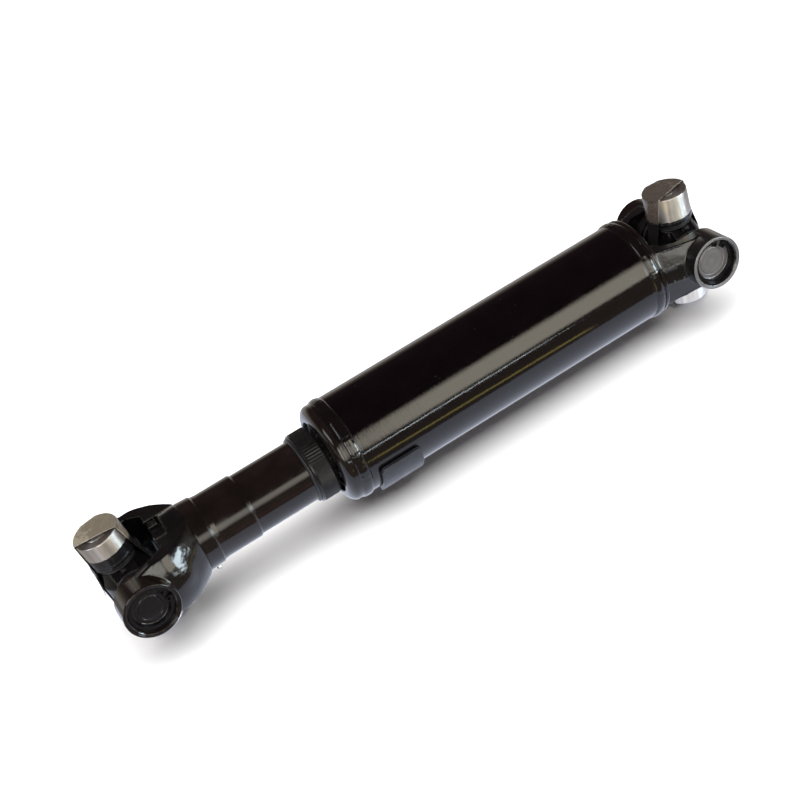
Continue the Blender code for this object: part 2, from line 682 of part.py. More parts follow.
def build():
    paint = material("gloss_black_paint", (0.012, 0.012, 0.014), 0.0, 0.16)
    machined = material("dark_steel", (0.18, 0.18, 0.2), 0.8, 0.38)
    bare_steel = material("bright_steel", (0.72, 0.71, 0.69), 1.0, 0.25)
    rubber = material("black_rubber", (0.02, 0.02, 0.022), 0.0, 0.55)
    spring_steel = material("spring_steel", (0.1, 0.1, 0.11), 0.7, 0.4)
    plated = material("plated_steel", (0.55, 0.53, 0.48), 0.9, 0.3)
    plastic = material("tape_plastic", (0.3, 0.28, 0.25), 0.0, 0.4)
    satin = material("satin_dark_plastic", (0.05, 0.05, 0.055), 0.0, 0.45)
    felt = material("seal_felt", (0.04, 0.037, 0.033), 0.0, 0.9)

    front = empty("front_joint", FRONT_X)
    rear = empty("rear_joint", REAR_X)
    slip_yoke = build_slip_yoke(front, paint)
    build_slip_fitting(slip_yoke, front, plated)
    build_dust_parts(front, satin, felt, paint)
    build_stub(front, paint)
    build_tube(front, paint)
    build_tube_yoke(rear, paint)
    for end, joint, tilt, ring_turn in (("front", front, FRONT_TILT, 15), ("rear", rear, REAR_TILT, 55)):
        build_joint(end, joint, tilt, ring_turn, machined, bare_steel, rubber, spring_steel, plated, plastic)


for existing in list(bpy.data.objects):
    bpy.data.objects.remove(existing, do_unlink=True)
build()
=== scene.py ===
"""Universal joint shaft on a pale floor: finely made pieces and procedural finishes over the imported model.

Pieces are made in millimetres in the frame of one joint, with +X towards the tube yoke's end, Y along the ear
caps and Z along the bare caps, and are placed by their joint's matrix. Parts that are turned about an axis are
made on Z first.
"""

from math import copysign, cos, exp, hypot, pi, radians, sin, sqrt

import bmesh
import bpy
import numpy as np
from mathutils import Matrix, Vector, noise


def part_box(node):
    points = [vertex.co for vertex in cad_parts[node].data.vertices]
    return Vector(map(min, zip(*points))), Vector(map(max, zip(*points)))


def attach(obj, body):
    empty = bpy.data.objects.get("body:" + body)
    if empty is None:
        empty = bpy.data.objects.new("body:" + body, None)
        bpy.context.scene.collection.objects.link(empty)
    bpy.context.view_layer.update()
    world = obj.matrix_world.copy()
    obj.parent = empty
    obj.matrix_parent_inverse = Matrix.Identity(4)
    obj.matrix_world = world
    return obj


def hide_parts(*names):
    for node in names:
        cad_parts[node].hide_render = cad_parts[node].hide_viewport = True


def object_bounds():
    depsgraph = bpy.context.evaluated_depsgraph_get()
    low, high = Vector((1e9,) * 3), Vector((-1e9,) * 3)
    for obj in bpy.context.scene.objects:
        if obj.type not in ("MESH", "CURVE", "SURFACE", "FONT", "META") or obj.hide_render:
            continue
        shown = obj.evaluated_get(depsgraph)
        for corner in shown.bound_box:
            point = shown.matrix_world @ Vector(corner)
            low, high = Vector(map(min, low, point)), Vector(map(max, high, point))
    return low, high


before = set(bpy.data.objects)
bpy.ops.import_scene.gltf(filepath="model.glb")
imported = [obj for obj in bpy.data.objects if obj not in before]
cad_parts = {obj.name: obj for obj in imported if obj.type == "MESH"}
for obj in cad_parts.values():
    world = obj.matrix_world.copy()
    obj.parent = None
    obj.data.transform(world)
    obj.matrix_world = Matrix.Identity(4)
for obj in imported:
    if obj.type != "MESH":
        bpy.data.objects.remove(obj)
cad_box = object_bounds()
scene = bpy.context.scene

MM = 0.001
TILT = {"front": -6.8, "rear": 3.0}  # degrees that each cross leans at rest, as in the photo
ARM_TURNS = {"top": 0, "near": 90, "bottom": 180, "far": -90}  # degrees about X from +Z
SLIP_BODY, TUBE_BODY = "slip_yoke_assembly", "tube_assembly"
YOKE_BODY = {"front": SLIP_BODY, "rear": TUBE_BODY}
GLOSS = "gloss_black_paint"  # the default of piece()'s slot argument
FAR = 60  # beyond every piece, for tools that cut right through

# Sizes shared by several pieces, in millimetres.
CAP_R = 13.5
CAP_START, CAP_END = 18.3, 37.3
RING_LOW, RING_HIGH = 37.6, 39.2
HUB_END = 15.3  # where the cross's body stops and its seals start
THROAT = 24.3  # half the gap between two ears
EAR_BORE = 15.2  # rough bore in a forged ear, behind its machined boss
GAP = 0.3


def joint_x(end):
    low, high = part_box(f"{end}_ear_cap_near")
    return (low.x + high.x) / 2


def turn_about(axis, degrees):
    return Matrix.Rotation(radians(degrees), 4, axis)


FRONT_X = joint_x("front")
REAR_X = joint_x("rear")
FRONT = Matrix.Translation((FRONT_X, 0, 0)) @ Matrix.Scale(MM, 4)
REAR = Matrix.Translation((REAR_X, 0, 0)) @ Matrix.Scale(MM, 4)
JOINT = {"front": FRONT, "rear": REAR}
CROSS = {end: JOINT[end] @ turn_about("Y", TILT[end]) for end in JOINT}
ALONG_X = turn_about("Y", 90)


# ------------ meshes


def finished(bm):
    mesh = bpy.data.meshes.new("mesh")
    bm.to_mesh(mesh)
    bm.free()
    return mesh


def mesh_of(verts, faces):
    """A mesh with doubled points merged and its faces turned outwards."""
    mesh = bpy.data.meshes.new("mesh")
    mesh.from_pydata([tuple(v) for v in verts], [], [tuple(f) for f in faces])
    bm = bmesh.new()
    bm.from_mesh(mesh)
    bmesh.ops.remove_doubles(bm, verts=bm.verts, dist=1e-4)
    bmesh.ops.recalc_face_normals(bm, faces=bm.faces)
    bm.to_mesh(mesh)
    bm.free()
    return mesh


def grid(rows, row, loop_rows=False, loop_row=False):
    """Faces over rows of points, each row long. Either way may close on itself."""
    faces = []
    for i in range(rows if loop_rows else rows - 1):
        j = (i + 1) % rows
        for k in range(row if loop_row else row - 1):
            n = (k + 1) % row
            faces.append((i * row + k, j * row + k, j * row + n, i * row + n))
    return faces


def soften(points, default=0.4, steps=4):
    """A profile with each corner rounded and the ends of long runs held, so that flat faces shade flat.

    A point may carry its own size of rounding.
    """
    long_run, held_back = 1.2, 0.12
    out = []
    last = len(points) - 1
    for i, point in enumerate(points):
        size = point[2] if len(point) > 2 else default
        here = Vector(point[:2])
        if i in (0, last) or size == 0:
            out.append(here)
            continue
        back = Vector(points[i - 1][:2]) - here
        ahead = Vector(points[i + 1][:2]) - here
        start = here + back.normalized() * min(size, 0.45 * back.length)
        end = here + ahead.normalized() * min(size, 0.45 * ahead.length)
        for k in range(steps + 1):
            t = k / steps
            out.append(start * (1 - t) ** 2 + here * 2 * t * (1 - t) + end * t * t)
    held = [out[0]]
    for back, here in zip(out, out[1:]):
        run = here - back
        if run.length > long_run:
            step = run.normalized() * held_back
            held += [back + step, here - step]
        held.append(here)
    return [(p[0], p[1]) for p in held]


def spin(profile, segments=128, shape=None):
    """A profile of (distance, radius) spun about Z. shape(angle, radius) gives the radius to use."""
    closed = profile[0][1] > 0 or profile[-1][1] > 0
    verts = []
    for i in range(segments):
        angle = 2 * pi * i / segments
        for along, radius in profile:
            r = shape(angle, radius) if shape and radius > 0 else radius
            verts.append((*polar(r, angle), along))
    return mesh_of(verts, grid(segments, len(profile), True, closed))


def prism(outline, low, high, axis="Z"):
    """An outline in the plane across an axis, drawn out along it."""
    bm = bmesh.new()

    def order(a, b, t):
        return {"X": (t, a, b), "Y": (a, t, b), "Z": (a, b, t)}[axis]

    face = bm.faces.new([bm.verts.new(order(a, b, low)) for a, b in outline])
    grown = bmesh.ops.extrude_face_region(bm, geom=[face])
    moved = [v for v in grown["geom"] if isinstance(v, bmesh.types.BMVert)]
    bmesh.ops.translate(bm, verts=moved, vec=order(0, 0, high - low))
    bmesh.ops.recalc_face_normals(bm, faces=bm.faces)
    return finished(bm)


def polar(radius, angle):
    return radius * cos(angle), radius * sin(angle)


def arc(radius, start, end, steps, centre=(0, 0)):
    """Points round a centre, from one angle in degrees to another."""
    angles = [radians(start + (end - start) * i / steps) for i in range(steps + 1)]
    return [(centre[0] + radius * cos(a), centre[1] + radius * sin(a)) for a in angles]


def turned(mesh, matrix):
    mesh.transform(matrix)
    return mesh


def joined(*meshes):
    bm = bmesh.new()
    for mesh in meshes:
        bm.from_mesh(mesh)
    return finished(bm)


def placed(data, name="tool"):
    obj = bpy.data.objects.new(name, data)
    scene.collection.objects.link(obj)
    return obj


def modified(mesh, *changes):
    """The mesh with modifiers applied, each given as (kind, settings)."""
    obj = placed(mesh)
    for kind, settings in changes:
        change = obj.modifiers.new("step", kind)
        for key, value in settings.items():
            setattr(change, key, value)
    graph = bpy.context.evaluated_depsgraph_get()
    made = bpy.data.meshes.new_from_object(obj.evaluated_get(graph))
    bpy.data.objects.remove(obj)
    return made


def carve(mesh, steps):
    """Boolean steps of (operation, mesh), one after another."""
    tools = [placed(other) for _, other in steps]
    changes = [
        ("BOOLEAN", {"operation": operation, "solver": "EXACT", "object": tool})
        for (operation, _), tool in zip(steps, tools)
    ]
    mesh = modified(mesh, *changes)
    for tool in tools:
        bpy.data.objects.remove(tool)
    return mesh


def cast(mesh, voxel, rounds, lump, lump_size, grit, grit_size):
    """A solid with its edges melted round, then given low lumps and a fine grit like a casting's."""
    melt = ("REMESH", {"mode": "VOXEL", "voxel_size": voxel}), ("SMOOTH", {"factor": 0.5, "iterations": rounds})
    mesh = modified(mesh, *melt)
    normals = [v.normal.copy() for v in mesh.vertices]
    for v, normal in zip(mesh.vertices, normals):
        height = lump * noise.noise(v.co / lump_size) + grit * noise.noise(v.co / grit_size)
        v.co += normal * height
    return mesh


def piece(name, mesh, matrix, finish, body, stands_for=(), slot=GLOSS, crease=35):
    """A shown piece: placed, finished, and riding on its body."""
    place, turn, size = matrix.decompose()
    mesh.transform(Matrix.Diagonal(size).to_4x4())
    mesh.name = name
    obj = placed(mesh, name)
    obj.matrix_world = Matrix.LocRotScale(place, turn, None)
    mesh.materials.clear()
    mesh.materials.append(finish)
    mesh.shade_smooth()
    mesh.set_sharp_from_angle(angle=radians(crease))
    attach(obj, body)
    if stands_for:
        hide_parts(*stands_for)


# ------------ finishes


class Finish:
    """A procedural Principled material. Sizes are in millimetres on the object's own coordinates."""

    def __init__(self, name, **sockets):
        self.material = bpy.data.materials.new(name)
        self.material.use_nodes = True
        self.tree = self.material.node_tree
        self.shader = self.tree.nodes["Principled BSDF"]
        self.coords = self.tree.nodes.new("ShaderNodeTexCoord").outputs["Object"]
        self.normal = None
        for socket, value in sockets.items():
            self.shader.inputs[socket.replace("_", " ")].default_value = value

    def node(self, kind, settings=(), **inputs):
        made = self.tree.nodes.new(kind)
        for key, value in dict(settings).items():
            setattr(made, key, value)
        for key, value in inputs.items():
            self.feed(made.inputs[key.replace("_", " ")], value)
        return made

    def feed(self, socket, value):
        if isinstance(value, bpy.types.NodeSocket):
            self.tree.links.new(value, socket)
        else:
            socket.default_value = value

    def space(self, size, stretch):
        """The piece's own coordinates, in units of size millimetres drawn out by stretch."""
        made = self.node("ShaderNodeMapping", Vector=self.coords)
        made.inputs["Scale"].default_value = [1 / MM / (size * s) for s in stretch]
        return made.outputs["Vector"]

    def noise(self, size, stretch=(1, 1, 1), detail=3.0, rough=0.5, distortion=0.0):
        """Cloudy noise from 0 to 1 with features of about size millimetres."""
        settings = {"Scale": 1.0, "Detail": detail, "Roughness": rough, "Distortion": distortion}
        return self.node("ShaderNodeTexNoise", Vector=self.space(size, stretch), **settings).outputs["Fac"]

    def specks(self, size):
        """Distance to scattered points, 0 at each."""
        made = self.node("ShaderNodeTexVoronoi", Vector=self.space(size, (1, 1, 1)), Scale=1.0)
        return made.outputs["Distance"]

    def level(self, value, low, high, to_low=0.0, to_high=1.0, smooth=False):
        """A value moved from one range to another and held inside it."""
        settings = {"interpolation_type": "SMOOTHSTEP" if smooth else "LINEAR", "clamp": True}
        made = self.node("ShaderNodeMapRange", settings, Value=value)
        for key, number in (("From Min", low), ("From Max", high), ("To Min", to_low), ("To Max", to_high)):
            made.inputs[key].default_value = number
        return made.outputs["Result"]

    def math(self, operation, a, b=0.0):
        made = self.node("ShaderNodeMath", {"operation": operation})
        self.feed(made.inputs[0], a)
        self.feed(made.inputs[1], b)
        return made.outputs["Value"]

    def mix(self, share, a, b):
        made = self.node("ShaderNodeMix", {"data_type": "RGBA"})
        self.feed(made.inputs["Factor"], share)
        for key, value in (("A", a), ("B", b)):
            socket = [s for s in made.inputs if s.name == key and s.type == "RGBA"][0]
            self.feed(socket, value if isinstance(value, bpy.types.NodeSocket) else (*value, 1))
        return [s for s in made.outputs if s.type == "RGBA"][0]

    def axis(self, name):
        """One of the piece's own coordinates, in millimetres."""
        made = self.node("ShaderNodeSeparateXYZ", Vector=self.coords)
        return self.math("MULTIPLY", made.outputs[name], 1 / MM)

    def bump(self, height, size_mm):
        made = self.node("ShaderNodeBump", Height=height, Strength=1.0, Distance=size_mm * MM)
        if self.normal:
            self.tree.links.new(self.normal, made.inputs["Normal"])
        self.normal = made.outputs["Normal"]
        self.tree.links.new(self.normal, self.shader.inputs["Normal"])

    def set(self, socket, value):
        self.feed(self.shader.inputs[socket], value)


def enamel(name, rough, wave, tint, streak=0.0, grit=0.0, dust=0.5):
    """Gloss black enamel: a wavy skin with orange peel, faint streaks from the metal below, and dust specks."""
    paint = Finish(name, Metallic=0.0, IOR=1.5, Coat_Weight=0.0)
    cloud = paint.noise(14, detail=4)
    base = paint.mix(paint.level(cloud, 0.35, 0.7), tint, tuple(c * 2.2 for c in tint))
    motes = paint.level(paint.specks(3.2), 0.035, 0.06, 1.0, 0.0)
    chance = paint.level(paint.noise(7), 0.56, 0.62)
    mask = paint.math("MULTIPLY", paint.math("MULTIPLY", motes, chance), dust)
    paint.set("Base Color", paint.mix(mask, base, (0.12, 0.12, 0.125)))
    patch = paint.noise(9, detail=5, rough=0.6)
    paint.set("Roughness", paint.level(patch, 0.3, 0.7, *rough))
    paint.bump(paint.noise(11, detail=1), wave)
    paint.bump(paint.noise(1.1, detail=2), 0.004)
    if streak:
        paint.bump(paint.noise(1.1, stretch=(1, 5, 5), detail=3, rough=0.6), streak)
    if grit:
        paint.bump(paint.noise(0.8, detail=4, rough=0.6), grit)
    paint.bump(mask, 0.02)
    return paint.material


def ragged_height(finish, size, reach):
    """A piece's distance from its middle along Z, in millimetres, made uneven for a ragged line of paint."""
    ragged = finish.level(finish.noise(size), 0.3, 0.7, -reach, reach)
    return finish.math("ADD", finish.math("ABSOLUTE", finish.axis("Z")), ragged)


def ground_steel(name, coat_below):
    """Bright steel, ground round the cap's axis, with upright streaks of painted reflection in its tint. Black
    paint covers it below a height on that axis.
    """
    steel = Finish(name, Anisotropic=0.8, Anisotropic_Rotation=0.25)
    across = steel.node("ShaderNodeTangent", {"direction_type": "RADIAL", "axis": "Z"})
    steel.set("Tangent", across.outputs["Tangent"])
    fine = steel.noise(0.3, stretch=(80, 80, 1), detail=3, rough=0.7)
    # Painted reflection: upright streaks of lighter and darker tint along the cap's axis stand for the streaky
    # reflections of the ground steel.
    upright = steel.noise(1.6, stretch=(1, 1, 60), detail=3)
    shade = steel.mix(steel.level(upright, 0.3, 0.7), (0.55, 0.53, 0.51), (0.74, 0.7, 0.64))
    shade = steel.mix(steel.level(fine, 0.4, 0.8, 0.0, 0.3), shade, (0.4, 0.39, 0.39))
    rough = steel.level(fine, 0.3, 0.7, 0.3, 0.42)
    steel.bump(fine, 0.006)
    bare = steel.level(ragged_height(steel, 2.5, 0.3), coat_below - 0.12, coat_below + 0.12)
    steel.set("Base Color", steel.mix(bare, (0.007, 0.007, 0.009), shade))
    steel.set("Metallic", bare)
    steel.set("Roughness", steel.math("MULTIPLY", rough, steel.level(bare, 0.0, 1.0, 0.5, 1.0)))
    return steel.material


def turned_steel(name, dark, light, rough, metallic, paint_and_shade_below=None):
    """Steel turned on a lathe about its own Z, with fine rings. Below a height it may be near-black: black paint
    on a painted piece, painted shade on bare steel that sits in shade.
    """
    ring = 0.5  # millimetres from ring to ring
    steel = Finish(name)
    split = steel.node("ShaderNodeSeparateXYZ", Vector=steel.coords)
    x2, y2 = [steel.math("POWER", steel.math("ABSOLUTE", split.outputs[k]), 2.0) for k in "XY"]
    radius = steel.math("MULTIPLY", steel.math("SQRT", steel.math("ADD", x2, y2)), 1 / MM / ring)
    along = steel.math("MULTIPLY", split.outputs["Z"], 1 / MM / ring)
    spot = steel.node("ShaderNodeCombineXYZ", X=radius, Y=along).outputs["Vector"]
    rings = steel.node("ShaderNodeTexNoise", Vector=spot, Scale=1.0, Detail=4.0).outputs["Fac"]
    cloud = steel.noise(4, detail=4)
    shade = steel.mix(steel.level(rings, 0.15, 0.85), dark, light)
    shade = steel.mix(steel.level(cloud, 0.35, 0.75, 0.0, 0.5), shade, dark)
    shine = steel.level(cloud, 0.3, 0.7, *rough)
    steel.bump(rings, 0.012)
    if paint_and_shade_below is None:
        steel.set("Base Color", shade)
        steel.set("Roughness", shine)
        steel.shader.inputs["Metallic"].default_value = metallic
        return steel.material
    # Near-black below the height: black paint on the boss faces, painted shade on the machined caps' steel sides.
    edge = steel.math("ADD", steel.axis("Z"), steel.level(steel.noise(1.5), 0.3, 0.7, -0.15, 0.15))
    bare_share = steel.level(edge, paint_and_shade_below - 0.08, paint_and_shade_below + 0.08)
    steel.set("Base Color", steel.mix(bare_share, (0.006, 0.005, 0.005), shade))
    steel.set("Roughness", steel.mix(bare_share, (0.14, 0.14, 0.14), shine))
    steel.set("Metallic", steel.math("MULTIPLY", bare_share, metallic))
    return steel.material


def soft_black(name, base, rough, size=0.5, height=0.01, shine=0.5, grain=(1, 1, 1)):
    """Rubber, felt or satin plastic: matt, faintly mottled and finely grained."""
    made = Finish(name, Metallic=0.0, Specular_IOR_Level=shine)
    light = tuple(min(1.0, c * 1.9) for c in base)
    made.set("Base Color", made.mix(made.level(made.noise(4, detail=4), 0.3, 0.7), base, light))
    made.set("Roughness", made.level(made.noise(2.2), 0.3, 0.7, rough - 0.06, rough + 0.08))
    made.bump(made.noise(size, stretch=grain, detail=3), height)
    return made.material


def tape_film(name, base, light, dark_below, run):
    """Thin beige film, wrinkled where it folds. It looks light over bright steel and dark over black paint.

    run is the share of a lighter shade in it where it runs down the side of a cap: painted light that makes the
    sides as bright as the lamp-lit top, standing partly for steel showing through.
    """
    film = Finish(name, IOR=1.45)
    fibres = film.noise(0.35, stretch=(1, 1, 30), detail=3, rough=0.6)
    cloud = film.noise(4, detail=4, distortion=0.6)
    shade = film.mix(film.level(fibres, 0.35, 0.7), base, light)
    shade = film.mix(film.level(cloud, 0.35, 0.7, 0.0, 0.5), shade, tuple(c * 0.6 for c in base))
    height = ragged_height(film, 3, 0.8)
    on_top = film.level(height, 36.6, 37.6)
    # Painted light: below the cap's top the film is mixed towards a lighter shade by run, standing for light on
    # its sides and partly for steel seen through it.
    shade = film.mix(on_top, film.mix(run, shade, tuple(c * 3.2 for c in light)), shade)
    over_steel = film.level(height, dark_below - 1.5, dark_below + 1.5, smooth=True)
    film.set("Base Color", film.mix(over_steel, (0.012, 0.011, 0.011), shade))
    film.set("Roughness", film.level(cloud, 0.3, 0.7, 0.2, 0.36))
    clear, closed = film.level(cloud, 0.3, 0.75, 0.85, 0.97), film.level(over_steel, 0, 1, 1, 0)
    film.set("Alpha", film.math("MAXIMUM", clear, closed))
    film.set("Specular IOR Level", film.level(over_steel, 0, 1, 0.08, 0.5))
    film.bump(fibres, 0.01)
    film.bump(film.noise(2.4, detail=3, distortion=1.2), 0.1)
    return film.material


PAINT = enamel("black_enamel", (0.07, 0.14), 0.05, (0.0034, 0.0022, 0.0018))
TUBE_PAINT = enamel("black_enamel_on_drawn_tube", (0.06, 0.13), 0.04, (0.0009, 0.0004, 0.0006), 0.065, dust=0.6)
CAST_PAINT = enamel("black_enamel_on_casting", (0.08, 0.17), 0.09, (0.002, 0.0018, 0.0018), grit=0.012)
WELD_PAINT = enamel("black_enamel_on_weld", (0.07, 0.14), 0.1, (0.0018, 0.0013, 0.0012), grit=0.015)
WEIGHT_PAINT = enamel("satin_enamel_on_weight", (0.3, 0.4), 0.05, (0.008, 0.009, 0.012), grit=0.008)
FORGED = enamel("painted_forging", (0.1, 0.2), 0.05, (0.002, 0.0018, 0.0019), grit=0.02)
CAP_BRIGHT = {
    "front": ground_steel("ground_steel_front", 26.7),
    "rear": ground_steel("ground_steel_rear", 21.7),
}
CAP_DARK = turned_steel("painted_cap_face", (0.004, 0.004, 0.006), (0.009, 0.009, 0.013), (0.1, 0.18), 0.0)
# Below 36.4 mm the cap's bare steel side is painted near-black: painted shade where it sits deep in the throat.
CAP_GREY = turned_steel("machined_cap_face", (0.14, 0.135, 0.135), (0.3, 0.29, 0.29), (0.28, 0.4), 0.55, 36.4)
BOSS_GREY = turned_steel("worn_boss_face", (0.12, 0.12, 0.122), (0.27, 0.27, 0.272), (0.25, 0.4), 0.4, 42.15)
RING_STEEL = turned_steel("blued_ring_steel", (0.01, 0.01, 0.011), (0.03, 0.03, 0.034), (0.2, 0.32), 0.7)
PLATED = turned_steel("zinc_plate", (0.4, 0.39, 0.36), (0.7, 0.69, 0.64), (0.18, 0.3), 1.0)
SPLINE_STEEL = turned_steel("oiled_spline_steel", (0.04, 0.04, 0.04), (0.13, 0.125, 0.12), (0.3, 0.45), 0.9)
RUBBER = soft_black("moulded_rubber", (0.008, 0.008, 0.009), 0.36)
FELT = soft_black("oiled_felt", (0.03, 0.027, 0.024), 0.9, 0.4, 0.08)
SATIN = soft_black("satin_dust_cap", (0.003, 0.0028, 0.0028), 0.2, 0.8, 0.003, 0.34, (40, 1, 1))
TAPE = {
    "front": tape_film("tape_film_front", (0.105, 0.088, 0.064), (0.17, 0.15, 0.115), 26.5, 0.2),
    "rear": tape_film("tape_film_rear", (0.038, 0.029, 0.024), (0.07, 0.056, 0.047), 22.5, 0.35),
}
# The tape's edge cord is light beige: a painted highlight standing for the light line along the film's cut edge.
TAPE_EDGE_HIGHLIGHT = soft_black("tape_edge_painted_highlight", (0.3, 0.28, 0.24), 0.35, 1.0, 0.01)


# ------------ caps, rings, fittings and bosses


def cap_mesh(groove):
    """A bearing cap on +Z, with a turned circle of about the groove's radius in its end."""
    start, end = CAP_START, CAP_END
    profile = [
        (34.8, 0), (34.8, 10.9, 0.6), (start, 10.9, 0.2), (start, CAP_R, 0.3), (start + 2.2, CAP_R, 0.1),
        (start + 2.4, CAP_R - 0.2, 0.1), (start + 2.9, CAP_R - 0.2, 0.1), (start + 3.1, CAP_R, 0.1),
        (end - 0.4, CAP_R, 0.2), (end, 13.1, 0.2), (end, groove + 2.9, 0.05),
        (end - 0.15, groove + 2.7, 0.1), (end - 0.15, groove + 0.5, 0.1), (end - 0.45, groove + 0.3, 0.1),
        (end - 0.45, groove - 0.1, 0.1), (end - 0.1, groove - 0.4, 0.2), (end, 0),
    ]
    return spin(soften(profile, steps=3), 128)


def seal_mesh():
    """A lipped rubber seal at the mouth of a cap."""
    low, high = HUB_END + GAP, CAP_START - GAP
    lips = [(high, 12.3), (17.5, 12.6), (17.1, 12.0), (16.7, 12.6), (16.2, 12.0), (low, 12.6)]
    return spin(soften([(low, 8.5), (high, 8.5)] + lips, 0.25, 3), 96)


def ring_mesh():
    """A snap ring on +Z with a drilled lug at each end, its opening towards +X."""
    outline = arc(14.5, 9, 351, 96) + arc(9.4, 351, 337, 4) + arc(11.4, 333, 27, 84) + arc(9.4, 23, 9, 4)
    ring = prism(outline, RING_LOW, RING_HIGH)
    holes = []
    for angle in (16.5, 343.5):
        spot = turn_about("Z", angle) @ Matrix.Translation((10.9, 0, 0))
        holes.append(("DIFFERENCE", turned(prism(arc(0.85, 0, 345, 23), RING_LOW - 1, RING_HIGH + 1), spot)))
    return carve(ring, holes)


def fitting_mesh(seat, height):
    """A grease fitting on +Z, standing height above its seat: a shank, a hexagon and a ball head."""
    hexagon = prism(arc(2.25, 0, 300, 5), seat + GAP, seat + 0.36 * height)
    profile = [
        (seat - 5, 0), (seat - 5, 1.4), (seat + 0.3 * height, 1.4, 0.1), (seat + 0.34 * height, 1.9, 0.1),
        (seat + 0.44 * height, 1.25, 0.3), (seat + 0.6 * height, 1.15, 0.3),
        (seat + 0.72 * height, 1.7, 0.4), (seat + 0.88 * height, 1.65, 0.4), (seat + height, 0.7, 0.2),
        (seat + height, 0.35, 0.05), (seat + 0.93 * height, 0),
    ]
    return joined(hexagon, spin(soften(profile, steps=3), 40))


def boss_mesh(radius, end):
    """The machined end of an ear on +Z: face, chamfered mouth, snap ring groove and bore."""
    start, bore, groove = THROAT + GAP, CAP_R + GAP, 14.8
    low, high = RING_LOW - 0.2, RING_HIGH + 0.2
    profile = [
        (start, radius), (start, bore, 0.1), (low, bore, 0.05), (low, groove, 0.05), (high, groove, 0.05),
        (high, bore, 0.05), (end - 1.4, bore, 0.1), (end - 0.5, 14.7, 0.2), (end - 0.5, 15.3, 0.15),
        (end, 15.6, 0.15), (end, radius - 0.5, 0.25), (end - 0.6, radius, 0.4), (start, radius),
    ]
    return spin(soften(profile, steps=3)[1:], 160)


def cord_mesh(path, widths, around=8):
    """A cord along a path, a little taller than wide, with a radius for each of its points."""
    verts = []
    for i, p in enumerate(path):
        ahead = (path[min(i + 1, len(path) - 1)] - path[max(i - 1, 0)]).normalized()
        side = ahead.cross(Vector((0.1, 1, 0.05))).normalized()
        other = ahead.cross(side)
        for k in range(around):
            a = 2 * pi * k / around
            verts.append(p + side * widths[i] * cos(a) + other * 1.2 * widths[i] * sin(a))
    ends = [range(around), range(len(verts) - around, len(verts))]
    return mesh_of(verts, grid(len(path), around, False, True) + ends)


def hull_mesh(points):
    """The convex hull of some points."""
    bm = bmesh.new()
    for point in points:
        bm.verts.new(point)
    made = bmesh.ops.convex_hull(bm, input=bm.verts)
    inside = [v for v in made["geom_interior"] if isinstance(v, bmesh.types.BMVert)]
    bmesh.ops.delete(bm, geom=inside, context="VERTS")
    bmesh.ops.recalc_face_normals(bm, faces=bm.faces)
    return finished(bm)


def along_x(profile, segments=96):
    return turned(spin(profile, segments), ALONG_X)


def along_y(profile, segments=96):
    return turned(spin(profile, segments), turn_about("X", -90))


def ear_cuts(toward):
    """The steps that open the throat between two ears and bore them. toward is the shaft's side on X."""
    outline = [(-FAR, -THROAT), (14, -THROAT), (22, -19), (22, 19), (14, THROAT), (-FAR, THROAT)]
    throat = prism([(x * toward, y) for x, y in outline], -FAR, FAR)
    bore = along_y([(-FAR, 0), (-FAR, EAR_BORE), (FAR, EAR_BORE), (FAR, 0)])
    return ("DIFFERENCE", throat), ("DIFFERENCE", bore)


# ------------ slip yoke


SWELL = Vector((26.8, -32.2, 1.2))  # the middle of a low swell in the casting's near side
SWELL_OUT = Vector((0.47, -0.88, 0.04))
SWELL_HEIGHT, SWELL_REACH = 1.1, 6.0
POCKET_END = 27  # where the pocket's corner circles have their centres
LIP_Z = 19.05


def make_head():
    """The yoke's forged head: a bell and a boss, cut by the throat, two pockets and the bores."""
    bell = [(-20, 0), (-20, 35.5)]
    curve = 24
    for i in range(curve + 1):
        share = i / curve
        bell.append((17 + share * 24.4, 35.5 - 13.2 * share**1.6))
    bell += [(42.4, 18), (42.4, 0)]
    side = arc(16.4, 90, 270, 24) + [(11, -19.1), (50, -19.1), (50, 19.1), (11, 19.1)]
    hub = [(24, 0), (24, 22), (41.2, 22), (42.0, 20), (42.0, 0)]
    boss = [(-41.2, 0), (-41.2, 16.5), (41.2, 16.5), (41.2, 0)]
    pocket = [(18, -10.8), (18, 10.8)]
    pocket += arc(3, 90, 0, 6, (POCKET_END, 7.8)) + arc(3, 0, -90, 6, (POCKET_END, -7.8))
    throat, ear_bore = ear_cuts(1)
    steps = [
        ("INTERSECT", prism(side, -FAR, FAR, "Y")),
        ("UNION", along_x(hub)),
        ("UNION", along_y(boss)),
        throat,
        ("DIFFERENCE", prism(pocket, 13.3, FAR)),
        ("DIFFERENCE", prism(pocket, -FAR, -13.3)),
        ear_bore,
        ("DIFFERENCE", along_x([(12, 0), (12, 11.4), (33.5, 11.4), (33.5, 13.5), (FAR, 13.5), (FAR, 0)])),
    ]
    head = cast(carve(along_x(bell), steps), 0.5, 9, lump=0.22, lump_size=9, grit=0.03, grit_size=1.6)
    for v in head.vertices:
        v.co += SWELL_OUT * SWELL_HEIGHT * exp(-((v.co - SWELL).length / SWELL_REACH) ** 2)
    return head


def pocket_lips():
    """A thin raised lip round the inner end of each pocket."""
    rim = [(21.5, 10.9), (24, 10.9)]
    rim += arc(3.1, 90, 0, 8, (POCKET_END, 7.8)) + arc(3.1, 0, -90, 8, (POCKET_END, -7.8))
    rim += [(24, -10.9), (21.5, -10.9)]
    return joined(*[cord_mesh([Vector((*p, z)) for p in rim], [0.5] * len(rim), 12) for z in (LIP_Z, -LIP_Z)])


